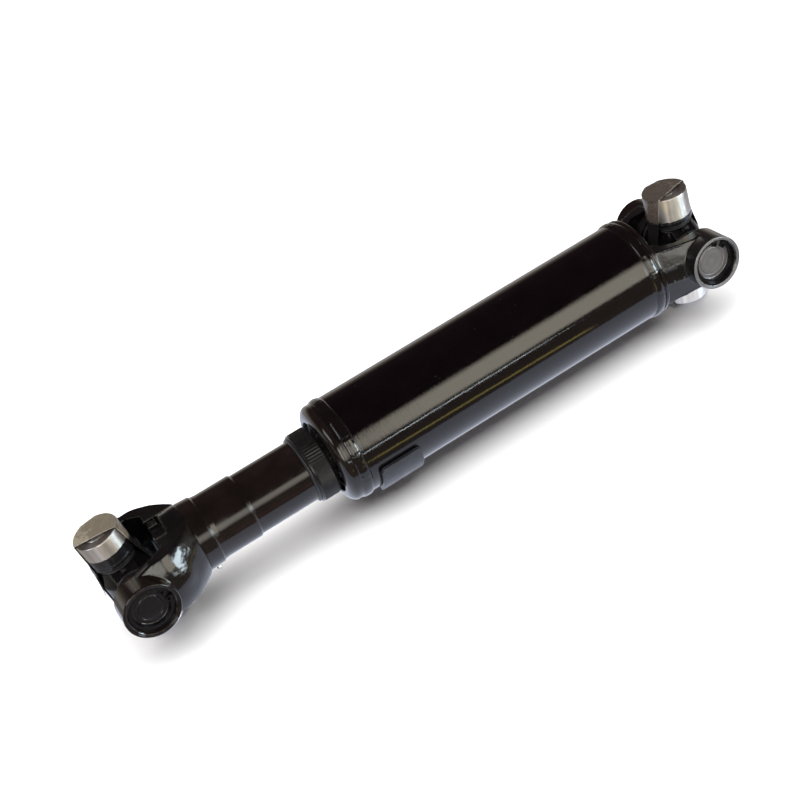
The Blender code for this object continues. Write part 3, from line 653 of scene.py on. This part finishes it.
def make_slip_yoke():
    piece("slip_yoke_head", make_head(), FRONT, CAST_PAINT, SLIP_BODY, ["slip_yoke"], crease=60)
    piece("slip_yoke_pocket_lips", pocket_lips(), FRONT, PAINT, SLIP_BODY, crease=60)
    sleeve = [
        (34, 13.1), (40.4, 13.1, 0), (40.4, 20, 0), (41.5, 22.0, 0.5), (50.3, 21.5, 0.5),
        (51.2, 20.7, 0.5), (54.3, 20.3, 0.5), (76.0, 20.3, 0.4), (77.3, 19.4, 0.4), (116.2, 19.4, 0.3),
        (116.4, 18.0, 0.1), (125.0, 18.0, 0.5), (125.0, 13.6, 0.3), (34, 13.1),
    ]
    piece("slip_yoke_sleeve", along_x(soften(sleeve)[:-1], 160), FRONT, PAINT, SLIP_BODY)
    plug = [(31.0, 0), (31.8, 6.6, 2), (32.2, 11.1, 0.4), (32.8, 11.1, 0.2), (32.6, 6.6, 2), (32.0, 0)]
    piece("spline_bore_plug", along_x(soften(plug), 64), FRONT, PAINT, SLIP_BODY, ["slip_yoke_plug"])
    spot = FRONT @ Matrix.Translation((46.9, 0, 0)) @ turn_about("X", 180)
    fitting = fitting_mesh(21.75, 7.6)
    piece("slip_fitting", fitting, spot, PLATED, SLIP_BODY, ["slip_grease_fitting"], "plated_steel")


def make_dust_cap():
    """The screwed cap on the sleeve's end, with fine ridges round its rim and a rubber lip before it."""
    ridges, ridge_height, rim = 72, 0.16, 22.15
    profile = [
        (116.7, 18.3), (116.7, 21.0, 0.4), (117.3, 21.9, 0.4), (118.3, 21.9, 0.2), (118.6, rim, 0.1),
        (127.9, rim, 0.1), (128.2, 21.9, 0.2), (129.0, 21.7, 0.4), (129.4, 21.2, 0.3), (129.4, 13.4, 0.3),
        (128.0, 13.4, 0.2), (128.0, 18.3),
    ]

    def ridged(angle, radius):
        return radius + ridge_height * cos(ridges * angle) - 0.13 if radius > 22 else radius

    mesh = turned(spin(soften(profile, steps=3), 10 * ridges, ridged), ALONG_X)
    piece("dust_cap_shell", mesh, FRONT, SATIN, SLIP_BODY, ["dust_cap"], "satin_plastic")
    lip = [(115.2, 19.5), (115.2, 20.2, 0.3), (116.0, 21.0, 0.4), (116.6, 21.0, 0.2), (116.6, 19.5)]
    piece("dust_cap_lip", along_x(soften(lip), 128), FRONT, RUBBER, SLIP_BODY, (), "rubber")


# ------------ stub, tube and weight


def make_stub():
    """The tube's domed head with the recess that the dust cap slides into, and the spline."""
    face = 130.8
    profile = [(136.6, 11.0), (134.4, 11.0, 0), (134.4, 23.4, 0.6), (131.2, 23.4, 0.2), (face, 23.8, 0.2)]
    steps = 20
    for i in range(steps + 1):
        turn = radians(180 - 90 * i / steps)
        profile.append((face + 5.7 * (1 + cos(turn)), 24.2 + 7.55 * sin(turn), 0))
    profile += [(137.2, 31.6, 0), (137.2, 28.0, 0)]
    head = along_x(soften(profile, steps=3), 192)
    piece("stub_head", head, FRONT, PAINT, TUBE_BODY, ["splined_stub"], crease=50)
    count, outline = 16, []
    flank = ((0.3, 11.3), (0.27, 11.4), (0.2, 12.7), (0.17, 12.8))
    for tooth in range(count):
        for share, radius in [(-a, r) for a, r in flank] + list(reversed(flank)):
            outline.append((radius, (tooth + share) / count))
    points = [polar(r, 2 * pi * t) for r, t in outline]
    teeth = prism(points, 42.6, 135, "X")
    nose = along_x(soften([(42.0, 0), (42.0, 10.4, 0.4), (42.9, 11.5, 0.2), (44, 11.2), (44, 0)]), 64)
    piece("stub_spline", joined(teeth, nose), FRONT, SPLINE_STEEL, TUBE_BODY)


def bead_mesh(start, end, seed):
    """A weld bead: a rippled crown that wanders along a low band with uneven edges, and a few spatter lumps."""
    across, around = 36, 720
    foot_r, top_r = 31.7, 32.95
    middle, half = (start + end) / 2, (end - start) / 2
    verts = []
    rng = np.random.default_rng(seed)
    lumps = [(rng.uniform(0, 2 * pi), rng.uniform(-0.4, 0.5), rng.uniform(0.1, 0.25)) for _ in range(14)]

    def around_noise(scale, angle, height):
        return noise.noise((*polar(scale, angle), height))

    for i in range(around):
        angle = 2 * pi * i / around
        wander = around_noise(3, angle, seed)
        centre = 0.12 + 0.1 * around_noise(2.2, angle, seed + 4.0)
        width = 0.7 + 0.1 * around_noise(4, angle, seed + 9.0)
        for k in range(across + 1):
            t = 2 * k / across - 1
            ripple = 0.03 * sin(61 * angle + 9 * wander + 2 * t * t)
            rough = 0.07 * around_noise(9, angle, 2.0 * t + seed)
            lump = 0.0
            for where, place, size in lumps:
                gap = (angle - where + pi) % (2 * pi) - pi
                far = (gap * 32) ** 2 + ((t - place) * half) ** 2
                if far < 4:
                    lump += size * exp(-far / 0.35)
            u = (t - centre) / width
            crown = (1.1 + 0.1 * wander) * sqrt(max(0.0, 1 - u * u))
            r = min(foot_r + crown + (ripple + rough + lump) * min(1.0, 1.6 * crown), top_r)
            edge = 0.35 * around_noise(5, angle, 7 * copysign(1, t) + seed)
            x = middle + half * t + edge * abs(t) ** 3
            verts.append((*polar(r, angle), x))
    skin = mesh_of(verts, grid(around, across + 1, True))
    return turned(modified(skin, ("SOLIDIFY", {"thickness": 1.0, "offset": -1})), ALONG_X)


def make_tube():
    wall = [(146.0, 28.7), (146.0, 31.75, 0.3), (351.5, 31.75, 0.3), (351.5, 28.7)]
    piece("tube_wall", along_x(soften(wall), 256), FRONT, TUBE_PAINT, TUBE_BODY, ["tube"])
    for end, start, stop, seed in (("front", 136.9, 146.3, 3), ("rear", 351.2, 359.4, 8)):
        bead = bead_mesh(start, stop, seed)
        piece(f"{end}_weld", bead, FRONT, WELD_PAINT, TUBE_BODY, [f"{end}_weld_bead"], crease=60)


def make_weight():
    """A curved plate with rounded corners and a small pressed dimple, lying on the tube's lower near side."""
    length, rise, thick, radius = 27.8, radians(55), 2.7, 32.05
    wide = rise * (radius + thick / 2)
    half_x, half_s, corner = length / 2, wide / 2, 3.2
    middle = radians(38.5)
    nx, ns = 56, 64
    verts = []
    for layer in (0, 1):
        for i in range(nx + 1):
            for j in range(ns + 1):
                x = (i / nx - 0.5) * length
                s = (j / ns - 0.5) * wide
                cx = max(abs(x) - (half_x - corner), 0)
                cs = max(abs(s) - (half_s - corner), 0)
                if cx > 0 and cs > 0:
                    pull = max(cx, cs) / hypot(cx, cs)
                    x = copysign(half_x - corner + cx * pull, x)
                    s = copysign(half_s - corner + cs * pull, s)
                r = radius + layer * thick
                if layer:
                    r -= 0.45 * exp(-((x - 5) ** 2 + (s - 4) ** 2) / 2.5)
                    r += 0.06 * noise.noise((x / 4, s / 4, 2.0))
                angle = middle + s / (radius + thick / 2)
                verts.append((x, -r * cos(angle), -r * sin(angle)))
    row = ns + 1
    layer = (nx + 1) * row
    under = grid(nx + 1, row)
    faces = under + [tuple(layer + v for v in face) for face in under]
    rim = list(range(row)) + [i * row + ns for i in range(1, nx + 1)]
    rim += [nx * row + j for j in range(ns - 1, -1, -1)] + [i * row for i in range(nx - 1, 0, -1)]
    for a, b in zip(rim, rim[1:] + rim[:1]):
        faces.append((a, b, b + layer, a + layer))
    bevel = {"width": 0.45, "segments": 3, "limit_method": "ANGLE", "angle_limit": radians(50)}
    plate = modified(mesh_of(verts, faces), ("BEVEL", bevel))
    spot = FRONT @ Matrix.Translation((164.9, 0, 0))
    piece("balance_plate", plate, spot, WEIGHT_PAINT, TUBE_BODY, ["balance_weight"], crease=50)


# ------------ tube yoke


ARM_ROOT, ARM_TIP = -29.6, -6.0  # where an arm leaves the collar, and where it meets its boss
ARM_RUN = ARM_TIP - ARM_ROOT
ROOT_Y, TIP_Y = 27.6, 36.8  # how far out an arm's parting band stands at each
ARM_TOP = 17.0
BAND_FOOT = -4.4


def along_arm(x):
    """0 at an arm's root and 1 at its tip."""
    return min(max((x - ARM_ROOT) / ARM_RUN, 0), 1)


def band_top(x):
    """The upper line of an arm's parting band, which widens towards the boss."""
    return 4.4 + 2.6 * along_arm(x)


def arm_foot(x):
    """The lower edge of an arm, which drops towards the tube."""
    return -ARM_TOP - 5.5 * (1 - along_arm(x))


def arm_mesh(side):
    """One ear's arm: an upright band at the parting line between two faces drawn back by the die's slope."""
    points = []
    for x, y in ((ARM_ROOT, ROOT_Y), (ARM_TIP, TIP_Y), (0, TIP_Y)):
        foot = arm_foot(x)
        points += [(x, side * y, band_top(x)), (x, side * y, BAND_FOOT)]
        points += [(x, side * (y - 4.4), ARM_TOP), (x, side * (y - 4.9 - 0.36 * (-ARM_TOP - foot)), foot)]
    for x, y in ((ARM_ROOT, 12), (0, THROAT)):
        points += [(x, side * y, ARM_TOP), (x, side * y, arm_foot(x))]
    return hull_mesh(points)


def flash_mesh(side, line, seed):
    """The ragged ridge the dies left along one edge of an arm's parting band."""
    verts, faces, count = [], [], 60
    for i in range(count + 1):
        x = -28.4 + 12.0 * i / count
        y = ROOT_Y + (TIP_Y - ROOT_Y) * (x - ARM_ROOT) / ARM_RUN
        tall = 0.9 * abs(noise.noise((x / 0.6, seed, 1.0))) * min(1, 0.2 * i, 0.2 * (count - i))
        lean = 0.7 * noise.noise((x / 0.5, seed, 7.0))
        for rise, out in ((-0.6, -0.5), (lean, 0.12 + tall), (0.6, -0.5)):
            verts.append((x, side * (y + out), line(x) + rise))
    for i in range(count):
        a = 3 * i
        faces += [(a, a + 3, a + 4, a + 1), (a + 1, a + 4, a + 5, a + 2), (a + 2, a + 5, a + 3, a)]
    faces += [(0, 1, 2), (3 * count, 3 * count + 2, 3 * count + 1)]
    return mesh_of(verts, faces)


def make_tube_yoke():
    disc = [(-32.2, 0), (-32.2, 31.7), (-30.3, 31.7), (-27.8, 24.8), (-27.8, 0)]
    boss = [(-42.0, 0), (-42.0, 16.3), (42.0, 16.3), (42.0, 0)]
    block = prism([(-32, -20), (-18, -20), (-18, 20), (-32, 20)], -13.3, 13.3)
    added = (arm_mesh(-1), arm_mesh(1), block, along_y(boss))
    steps = [("UNION", solid) for solid in added] + list(ear_cuts(-1))
    mesh = cast(carve(along_x(disc), steps), 0.5, 6, lump=0.08, lump_size=7, grit=0.02, grit_size=1.3)
    for v in mesh.vertices:
        out = abs(v.co.y) - 25
        if out > 0 and -28 < v.co.x < -13:
            ragged = 0.35 + 1.6 * noise.noise(v.co / 1.2)
            lines = (band_top(v.co.x), BAND_FOOT, ARM_TOP - 0.4, arm_foot(v.co.x) + 0.4)
            flash = sum(exp(-(((v.co.z - line) / 0.55) ** 2)) for line in lines)
            share = min(out, 1) * min(max(39.5 - abs(v.co.y), 0), 1)
            v.co.y += copysign(max(0.75 * flash * ragged, -0.25), v.co.y) * share
    piece("tube_yoke_forging", mesh, REAR, FORGED, TUBE_BODY, ["tube_yoke"], crease=60)
    ridges = []
    for side in (-1, 1):
        ridges += [flash_mesh(side, band_top, 3.0 + side), flash_mesh(side, lambda x: BAND_FOOT, 8.0 + side)]
    piece("tube_yoke_flash", joined(*ridges), REAR, PAINT, TUBE_BODY, crease=15)
    collar = [(-32.4, 28.0), (-32.4, 32.2, 0.5), (-30.2, 32.2, 0.8), (-27.6, 25.2, 0.6), (-27.6, 24.0)]
    piece("tube_yoke_collar", along_x(soften(collar), 192), REAR, PAINT, TUBE_BODY)


# ------------ joints


TAPE_R, TAPE_END = 14.15, 38.05  # how far from the caps' axis and from the cross's middle the film lies
TAPE_STEPS = 26  # along each straight side of the loop


def far_edge(z):
    """The tape's far edge at a height: narrower between the caps."""
    share = min(max((abs(z) - 15.8) / 4.0, 0), 1)
    share = share * share * (3 - 2 * share)
    return 7.0 + 6.0 * share


def tail_mesh():
    """The front tape's loose end, a curved tongue that hangs beside the loop."""
    verts = []
    steps, wide = 24, 10
    for i in range(steps + 1):
        t = i / steps
        x, z = -15.2 - 2.2 * t**1.4, 13.5 - 14.5 * t
        half = 3.6 * (1 - t**4) + 0.3
        for k in range(wide + 1):
            s = 2 * k / wide - 1
            curl = 0.25 * noise.noise((s, 3 * t, 4.0)) * t
            verts.append((x + curl, 0.6 + half * s - 1.6 * t, z + 0.5 * s * t))
    return mesh_of(verts, grid(steps + 1, wide + 1))


def tape_mesh(near_edge, tail):
    """A film wound over both bare caps and bulging over the hub between them.

    The loop has four sides, or turns: over the top cap, down, under the bottom cap and up. A share of a side
    above 1 lies in the bend after it. near_edge(turn, share) gives the near edge, on Y.
    """
    end, bend, across = TAPE_END, 1.1, 40
    bulge, bulge_top, bulge_run = 2.1, 18.3, 11.8
    shares = [i / TAPE_STEPS for i in range(TAPE_STEPS + 1)] + [1 + k / 5 for k in range(1, 5)]
    rows = [(turn, share) for turn in range(4) for share in shares]
    verts = []
    for turn, share in rows:
        for k in range(across + 1):
            mid = min(share, 1.0)
            height = (1.0, 1 - 2 * mid, -1.0, 2 * mid - 1)[turn]
            low, high = near_edge(turn, mid), far_edge(height * end)
            y = low + (high - low) * k / across
            a = 2 * share - 1
            up = abs(a) * (end - bend) if turn in (1, 3) and share <= 1 else end
            reach = TAPE_R + bulge * min(max((bulge_top - up) / bulge_run, 0), 1)
            w = sqrt(max(reach * reach - y * y, 0.5))
            if share <= 1:
                x, z = (
                    (a * (w - bend), end),
                    (w, -a * (end - bend)),
                    (-a * (w - bend), -end),
                    (-w, a * (end - bend)),
                )[turn]
            else:
                angle = radians(90 - 90 * turn - 90 * (share - 1))
                cx = (w - bend) * (1, 1, -1, -1)[turn]
                cz = (end - bend) * (1, -1, -1, 1)[turn]
                x, z = cx + bend * cos(angle), cz + bend * sin(angle)
            rim = exp(-(((abs(z) - end + 2.5) / 2.4) ** 2)) if turn in (1, 3) or share > 1 else 0.35
            wrinkle = 0.32 * rim * noise.noise((x / 2.2, y / 1.3, z / 3.0))
            lift = wrinkle + 0.08 * noise.noise(Vector((x, y, z)) / 5)
            outward = Vector((x if turn in (1, 3) else 0, 0, z if turn in (0, 2) else 0)).normalized()
            verts.append(Vector((x, y, z)) + outward * max(min(lift, 0.25), -0.1))
    loop = mesh_of(verts, grid(len(rows), across + 1, True))
    film = joined(loop, tail_mesh()) if tail else loop
    return modified(film, ("SOLIDIFY", {"thickness": 0.14, "offset": 0}))


def tape_edge_mesh(near_edge):
    """The cut edge of the film, a fine cord along the near side of its upper half. Its light finish is a painted
    highlight on that edge.
    """
    closest = 0.05
    path, widths = [], []
    for turn, first, last in ((3, 21, TAPE_STEPS), (0, 0, TAPE_STEPS), (1, 0, 4)):
        for k in range(first, last + 1):
            share = k / TAPE_STEPS
            y = near_edge(turn, share)
            w = sqrt(TAPE_R * TAPE_R - y * y)
            a = 2 * share - 1
            spot = Vector({0: (a * w, y, TAPE_END), 1: (w, y, -a * TAPE_END), 3: (-w, y, a * TAPE_END)}[turn])
            if not path or (spot - path[-1]).length >= closest:
                path.append(spot)
                widths.append(0.1 if turn == 0 else 0.2)
    return cord_mesh(path, widths)


def front_near(turn, share):
    """The near edge of the front tape: slanted over the cap's top, straight down the sides."""
    down, up = min(share * 3, 1), max(3 * share - 2, 0)
    return (-1.0 - 8.2 * share, -9.2 + 4.2 * down, -5.0, -5.0 + 4.0 * up)[turn]


def rear_near(turn, share):
    """The near edge of the rear tape, slanted the other way."""
    down, up = min(share * 3, 1), max(3 * share - 2, 0)
    return (-9.4 + 8.7 * share, -0.7 - 4.3 * down, -5.0, -5.0 - 4.4 * up)[turn]


def cross_mesh():
    """The cross: a web and a round hub between four shoulders, and its four drilled trunnions."""
    e = HUB_END
    shoulder = [(-e, 0), (-e, 11.0), (e, 11.0), (e, 0)]
    diamond = [(26, 0), (0, 26), (-26, 0), (0, -26)]
    square = [(e, e), (-e, e), (-e, -e), (e, -e)]
    web = carve(prism(diamond, -8, 8, "X"), [("INTERSECT", prism(square, -9, 9, "X"))])
    hub = spin([(-e, 0), (-e, 12.6), (-6.5, 15.9), (6.5, 15.9), (e, 12.6), (e, 0)], 96)
    hub = carve(hub, [("INTERSECT", prism(outline, -20, 20, "X")) for outline in (diamond, square)])
    body = carve(spin(shoulder, 96), [("UNION", along_y(shoulder)), ("UNION", web), ("UNION", hub)])
    body = cast(body, 0.45, 5, lump=0.1, lump_size=6, grit=0.02, grit_size=1.2)
    trunnion = [(14, 0), (14, 8.2), (33.4, 8.2), (34.2, 7.4), (34.2, 2.2), (30, 2.0), (30, 0)]
    arms = [turned(spin(soften(trunnion, 0.2), 64), turn_about("X", turn)) for turn in ARM_TURNS.values()]
    return joined(body, *arms)


def make_joint(end):
    """One joint's cross, caps, bosses, rings, seals, fitting and tape.

    The spider and the tape are placed by their points, which keeps their boxes tight although they lean.
    """
    joint, cross, yoke = JOINT[end], CROSS[end], YOKE_BODY[end]
    front = end == "front"
    body = f"{end}_cross_assembly"
    here = Matrix.Identity(4)

    def part(name, mesh, spot, finish, body, node, *rest):
        piece(f"{end}_{name}", mesh, spot, finish, body, [f"{end}_{node}"] if node else (), *rest)

    part("spider", turned(cross_mesh(), cross), here, FORGED, body, "cross", "joint_steel", 60)
    turns = {arm: turn_about("X", a) for arm, a in ARM_TURNS.items()}
    for arm in ("top", "bottom"):
        node = f"bare_cap_{arm}"
        spot, rider = cross @ turns[arm], f"{end}_{node}_body"
        part(f"bright_cap_{arm}", cap_mesh(7.5), spot, CAP_BRIGHT[end], rider, node, "bright_steel")
    boss_r, boss_end, groove, ring_turn = (16.9, 42.0, 7.5, 15) if front else (16.7, 42.8, 8.6, 55)
    face, near_boss = (CAP_DARK, PAINT) if front else (CAP_GREY, BOSS_GREY)
    for arm, sign in (("near", 1), ("far", -1)):
        spot = joint @ turns[arm]
        part(f"held_cap_{arm}", cap_mesh(groove), spot, face, yoke, f"ear_cap_{arm}", "joint_steel")
        finish = near_boss if arm == "near" else PAINT
        part(f"ear_boss_{arm}", boss_mesh(boss_r, boss_end), spot, finish, yoke, None)
        ring = turned(ring_mesh(), turn_about("Z", sign * ring_turn))
        part(f"circlip_{arm}", ring, spot, RING_STEEL, yoke, f"snap_ring_{arm}", "spring_steel", 40)
    for arm in ARM_TURNS:
        part(f"cap_seal_{arm}", seal_mesh(), cross @ turns[arm], RUBBER, body, f"seal_{arm}", "rubber")
        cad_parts[f"{end}_needles_{arm}"].material_slots[0].material = SPLINE_STEEL
    spot, fitting = cross @ turn_about("X", 45), fitting_mesh(18.4, 5.5)
    part("cross_fitting", fitting, spot, RING_STEEL, body, "cross_grease_fitting", "plated_steel")
    near_edge = front_near if front else rear_near
    tape = turned(tape_mesh(near_edge, front), cross)
    part("tape", tape, here, TAPE[end], body, "shipping_tape", "tape_plastic", 60)
    # The edge cord's light finish is a painted highlight.
    part("tape_edge", tape_edge_mesh(near_edge), cross, TAPE_EDGE_HIGHLIGHT, body, None, "tape_plastic", 60)


make_slip_yoke()
make_dust_cap()
make_stub()
make_tube()
make_weight()
make_tube_yoke()
for end in ("front", "rear"):
    make_joint(end)
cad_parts["dust_seal"].material_slots[0].material = FELT


# ------------ stage, lights and camera


def stage_piece(name, mesh, finish, solid=False):
    """A piece of the stage. One that isn't solid only shows as a reflection."""
    mesh.materials.append(finish)
    obj = placed(mesh, name)
    obj.visible_camera = obj.visible_shadow = obj.visible_diffuse = solid
    return obj


def panel(name, corners, finish, solid=False):
    mesh = bpy.data.meshes.new(name)
    mesh.from_pydata(corners, [], [tuple(range(len(corners)))])
    stage_piece(name, mesh, finish, solid)


def glow(name, colour, strength=1.0, edge=None):
    """A plain light. edge, (start, full, full, end) on Z in metres, fades it at a panel's foot and top."""
    light = Finish(name)
    emission = light.node("ShaderNodeEmission", Color=(*colour, 1), Strength=strength)
    light.feed(light.tree.nodes["Material Output"].inputs["Surface"], emission.outputs[0])
    light.tree.nodes.remove(light.shader)
    if edge:
        height = light.node("ShaderNodeSeparateXYZ", Vector=light.coords).outputs["Z"]
        shares = [light.level(height, edge[a], edge[b], smooth=True) for a, b in ((0, 1), (3, 2))]
        light.feed(emission.inputs["Strength"], light.math("MULTIPLY", light.math("MULTIPLY", *shares), strength))
    return light.material


floor_z = cad_box[0][2]
WALL_R, WALL_TOP, WALL_SIDES = 2.2, 3.0, 96  # the pale backdrop round the floor
ROOM = 3  # how far the dim room's reflection reaches
BACK_Y, LOW_Z = -1.2, -0.03  # where the windows stand and start


def flat(x0, x1, y0, y1, z):
    return [(x0, y0, z), (x1, y0, z), (x1, y1, z), (x0, y1, z)]


def upright(x0, x1, y, z0, z1):
    return [(x0, y, z0), (x1, y, z0), (x1, y, z1), (x0, y, z1)]


paper = Finish("pale_paper", Roughness=0.9, Specular_IOR_Level=0.0)
paper.set("Base Color", paper.mix(paper.noise(120, detail=2), (0.92, 0.92, 0.925), (0.95, 0.95, 0.95)))
panel("floor", flat(-4, 4, -4, 4, floor_z), paper.material, True)

wall = []
for i in range(WALL_SIDES):
    a, b = [polar(WALL_R, 2 * pi * k / WALL_SIDES) for k in (i, i + 1)]
    wall += [(*a, floor_z - 0.1), (*b, floor_z - 0.1), (*b, WALL_TOP), (*a, WALL_TOP)]
wall_mesh = mesh_of(wall, [range(4 * i, 4 * i + 4) for i in range(WALL_SIDES)])
backdrop = stage_piece("backdrop", wall_mesh, glow("pale_backdrop", (0.98, 0.98, 0.985)))
backdrop.visible_camera = True
backdrop.visible_glossy = backdrop.visible_transmission = False

# Cards that only show as reflections: the bright sheet, the dim room round it and the table's coloured edges.
card_z = floor_z + 0.0005
left, right, near, far = -0.26, 0.31, -0.074, 0.24  # the sheet's edges
panel("sheet_reflection", flat(left, right, near, far, card_z), glow("bright_sheet", (0.94, 1.0, 1.18)))
front_room = glow("dim_room_front", (0.27, 0.215, 0.18))
panel("front_room_reflection", flat(-ROOM, ROOM, -ROOM, near, card_z), front_room)
side_room = glow("dim_room_side", (0.36, 0.33, 0.31))
panel("left_room_reflection", flat(-ROOM, left, near, far, card_z), side_room)
panel("right_room_reflection", flat(right, ROOM, near, far, card_z), side_room)
back_room = glow("dim_room_back", (0.74, 0.69, 0.64))
panel("back_room_reflection", flat(-ROOM, ROOM, far, ROOM, card_z), back_room)
edge_corners = [(-0.03, -0.1196), (0.137, -0.0995), (0.137, -0.0885), (-0.03, -0.1059)]
table_edge = glow("warm_table_edge", (1.0, 0.84, 0.26), 2.6)
panel("table_edge_reflection", [(x, y, card_z + 0.0003) for x, y in edge_corners], table_edge)
red_edge = glow("red_edge", (0.95, 0.3, 0.28))
panel("red_edge_reflection", flat(-0.125, -0.05, -0.118, -0.108, card_z + 0.0006), red_edge)

# Windows behind the camera, each with its left and right end, its top, its light and how it fades upwards.
pale, side_fade = (1.0, 0.96, 0.88), (0.0, 0.15, 0.62, 1.0)
for name, x0, x1, top, colour, strength, fade in (
    ("window", 0.19, 1.0, 1.15, (1.0, 0.94, 0.78), 4.3, (-0.02, 0.14, 0.66, 1.1)),
    ("sleeve_window", -0.05, 0.189, 0.8, (1.0, 0.95, 0.84), 3.0, (-0.02, 0.3, 0.42, 0.7)),
    ("arm_window", -0.2, -0.051, 1.05, pale, 4.8, side_fade),
    ("cap_window", -0.62, -0.201, 1.05, pale, 2.0, side_fade),
    ("mid_window", -0.92, -0.621, 1.05, pale, 7.5, side_fade),
    ("far_window", -1.5, -0.921, 1.05, pale, 2.5, side_fade),
):
    panel(name, upright(x0, x1, BACK_Y, LOW_Z, top), glow(f"{name}_light", colour, strength, fade))
slit = glow("bright_slit", (0.88, 0.96, 1.0), 15.0)
panel("slit_reflection", upright(0.02, 0.24, -0.5, -0.032, -0.022), slit)
daylight = glow("daylight", (0.78, 0.92, 1.0), 19.0, (-0.06, -0.035, 0.24, 0.42))
a, b = (0.83, -1.16), (1.2, -0.6)
panel("daylight", [(*a, -0.038), (*b, -0.038), (*b, 0.42), (*a, 0.42)], daylight)
skylight = glow("left_skylight", (0.9, 0.96, 1.0), 3.0)
panel("left_skylight", [(-1.7, -0.8, 0.8), (-1.7, 0.3, 0.8), (-1.5, 0.3, 1.5), (-1.5, -0.8, 1.5)], skylight)

overhead_data = bpy.data.lights.new("overhead_softbox", "AREA")
overhead_data.shape = "RECTANGLE"
overhead_data.size = overhead_data.size_y = 4.5
overhead_data.energy = 205
overhead = placed(overhead_data, "overhead_softbox")
overhead.location = (0.0, 0.1, 2.2)
overhead.visible_glossy = False

world = bpy.data.worlds.new("soft_room")
scene.world = world
world.use_nodes = True
nodes, links = world.node_tree.nodes, world.node_tree.links
split = nodes.new("ShaderNodeSeparateXYZ")
links.new(nodes.new("ShaderNodeTexCoord").outputs["Generated"], split.inputs[0])
ramp = nodes.new("ShaderNodeValToRGB")  # the room's brightness from the horizon up
links.new(split.outputs["Z"], ramp.inputs["Fac"])
horizon, above = ramp.color_ramp.elements[0], ramp.color_ramp.elements[1]
horizon.position, horizon.color = 0.0, (0.8, 0.74, 0.68, 1)
above.position, above.color = 0.36, (0.055, 0.038, 0.042, 1)
ramp.color_ramp.elements.new(0.2).color = (0.28, 0.24, 0.2, 1)
links.new(ramp.outputs["Color"], nodes["Background"].inputs["Color"])
nodes["Background"].inputs["Strength"].default_value = 1.0

camera_data = bpy.data.cameras.new("camera")
camera_data.lens, camera_data.sensor_width = 69.2, 36.0
camera = placed(camera_data, "camera")
# The photograph's viewpoint: the camera's own directions and its place, solved from the photo.
forward = Vector((0.224, 0.812, -0.539)).normalized()
right = Vector((0.832, -0.447, -0.327))
right = (right - forward * right.dot(forward)).normalized()
up = right.cross(forward)
turn = Matrix((right, up, -forward)).transposed().to_4x4()
camera.matrix_world = Matrix.Translation((FRONT_X - 0.0174, -0.7416, 0.4988)) @ turn
scene.camera = camera
scene.view_settings.view_transform = "Standard"
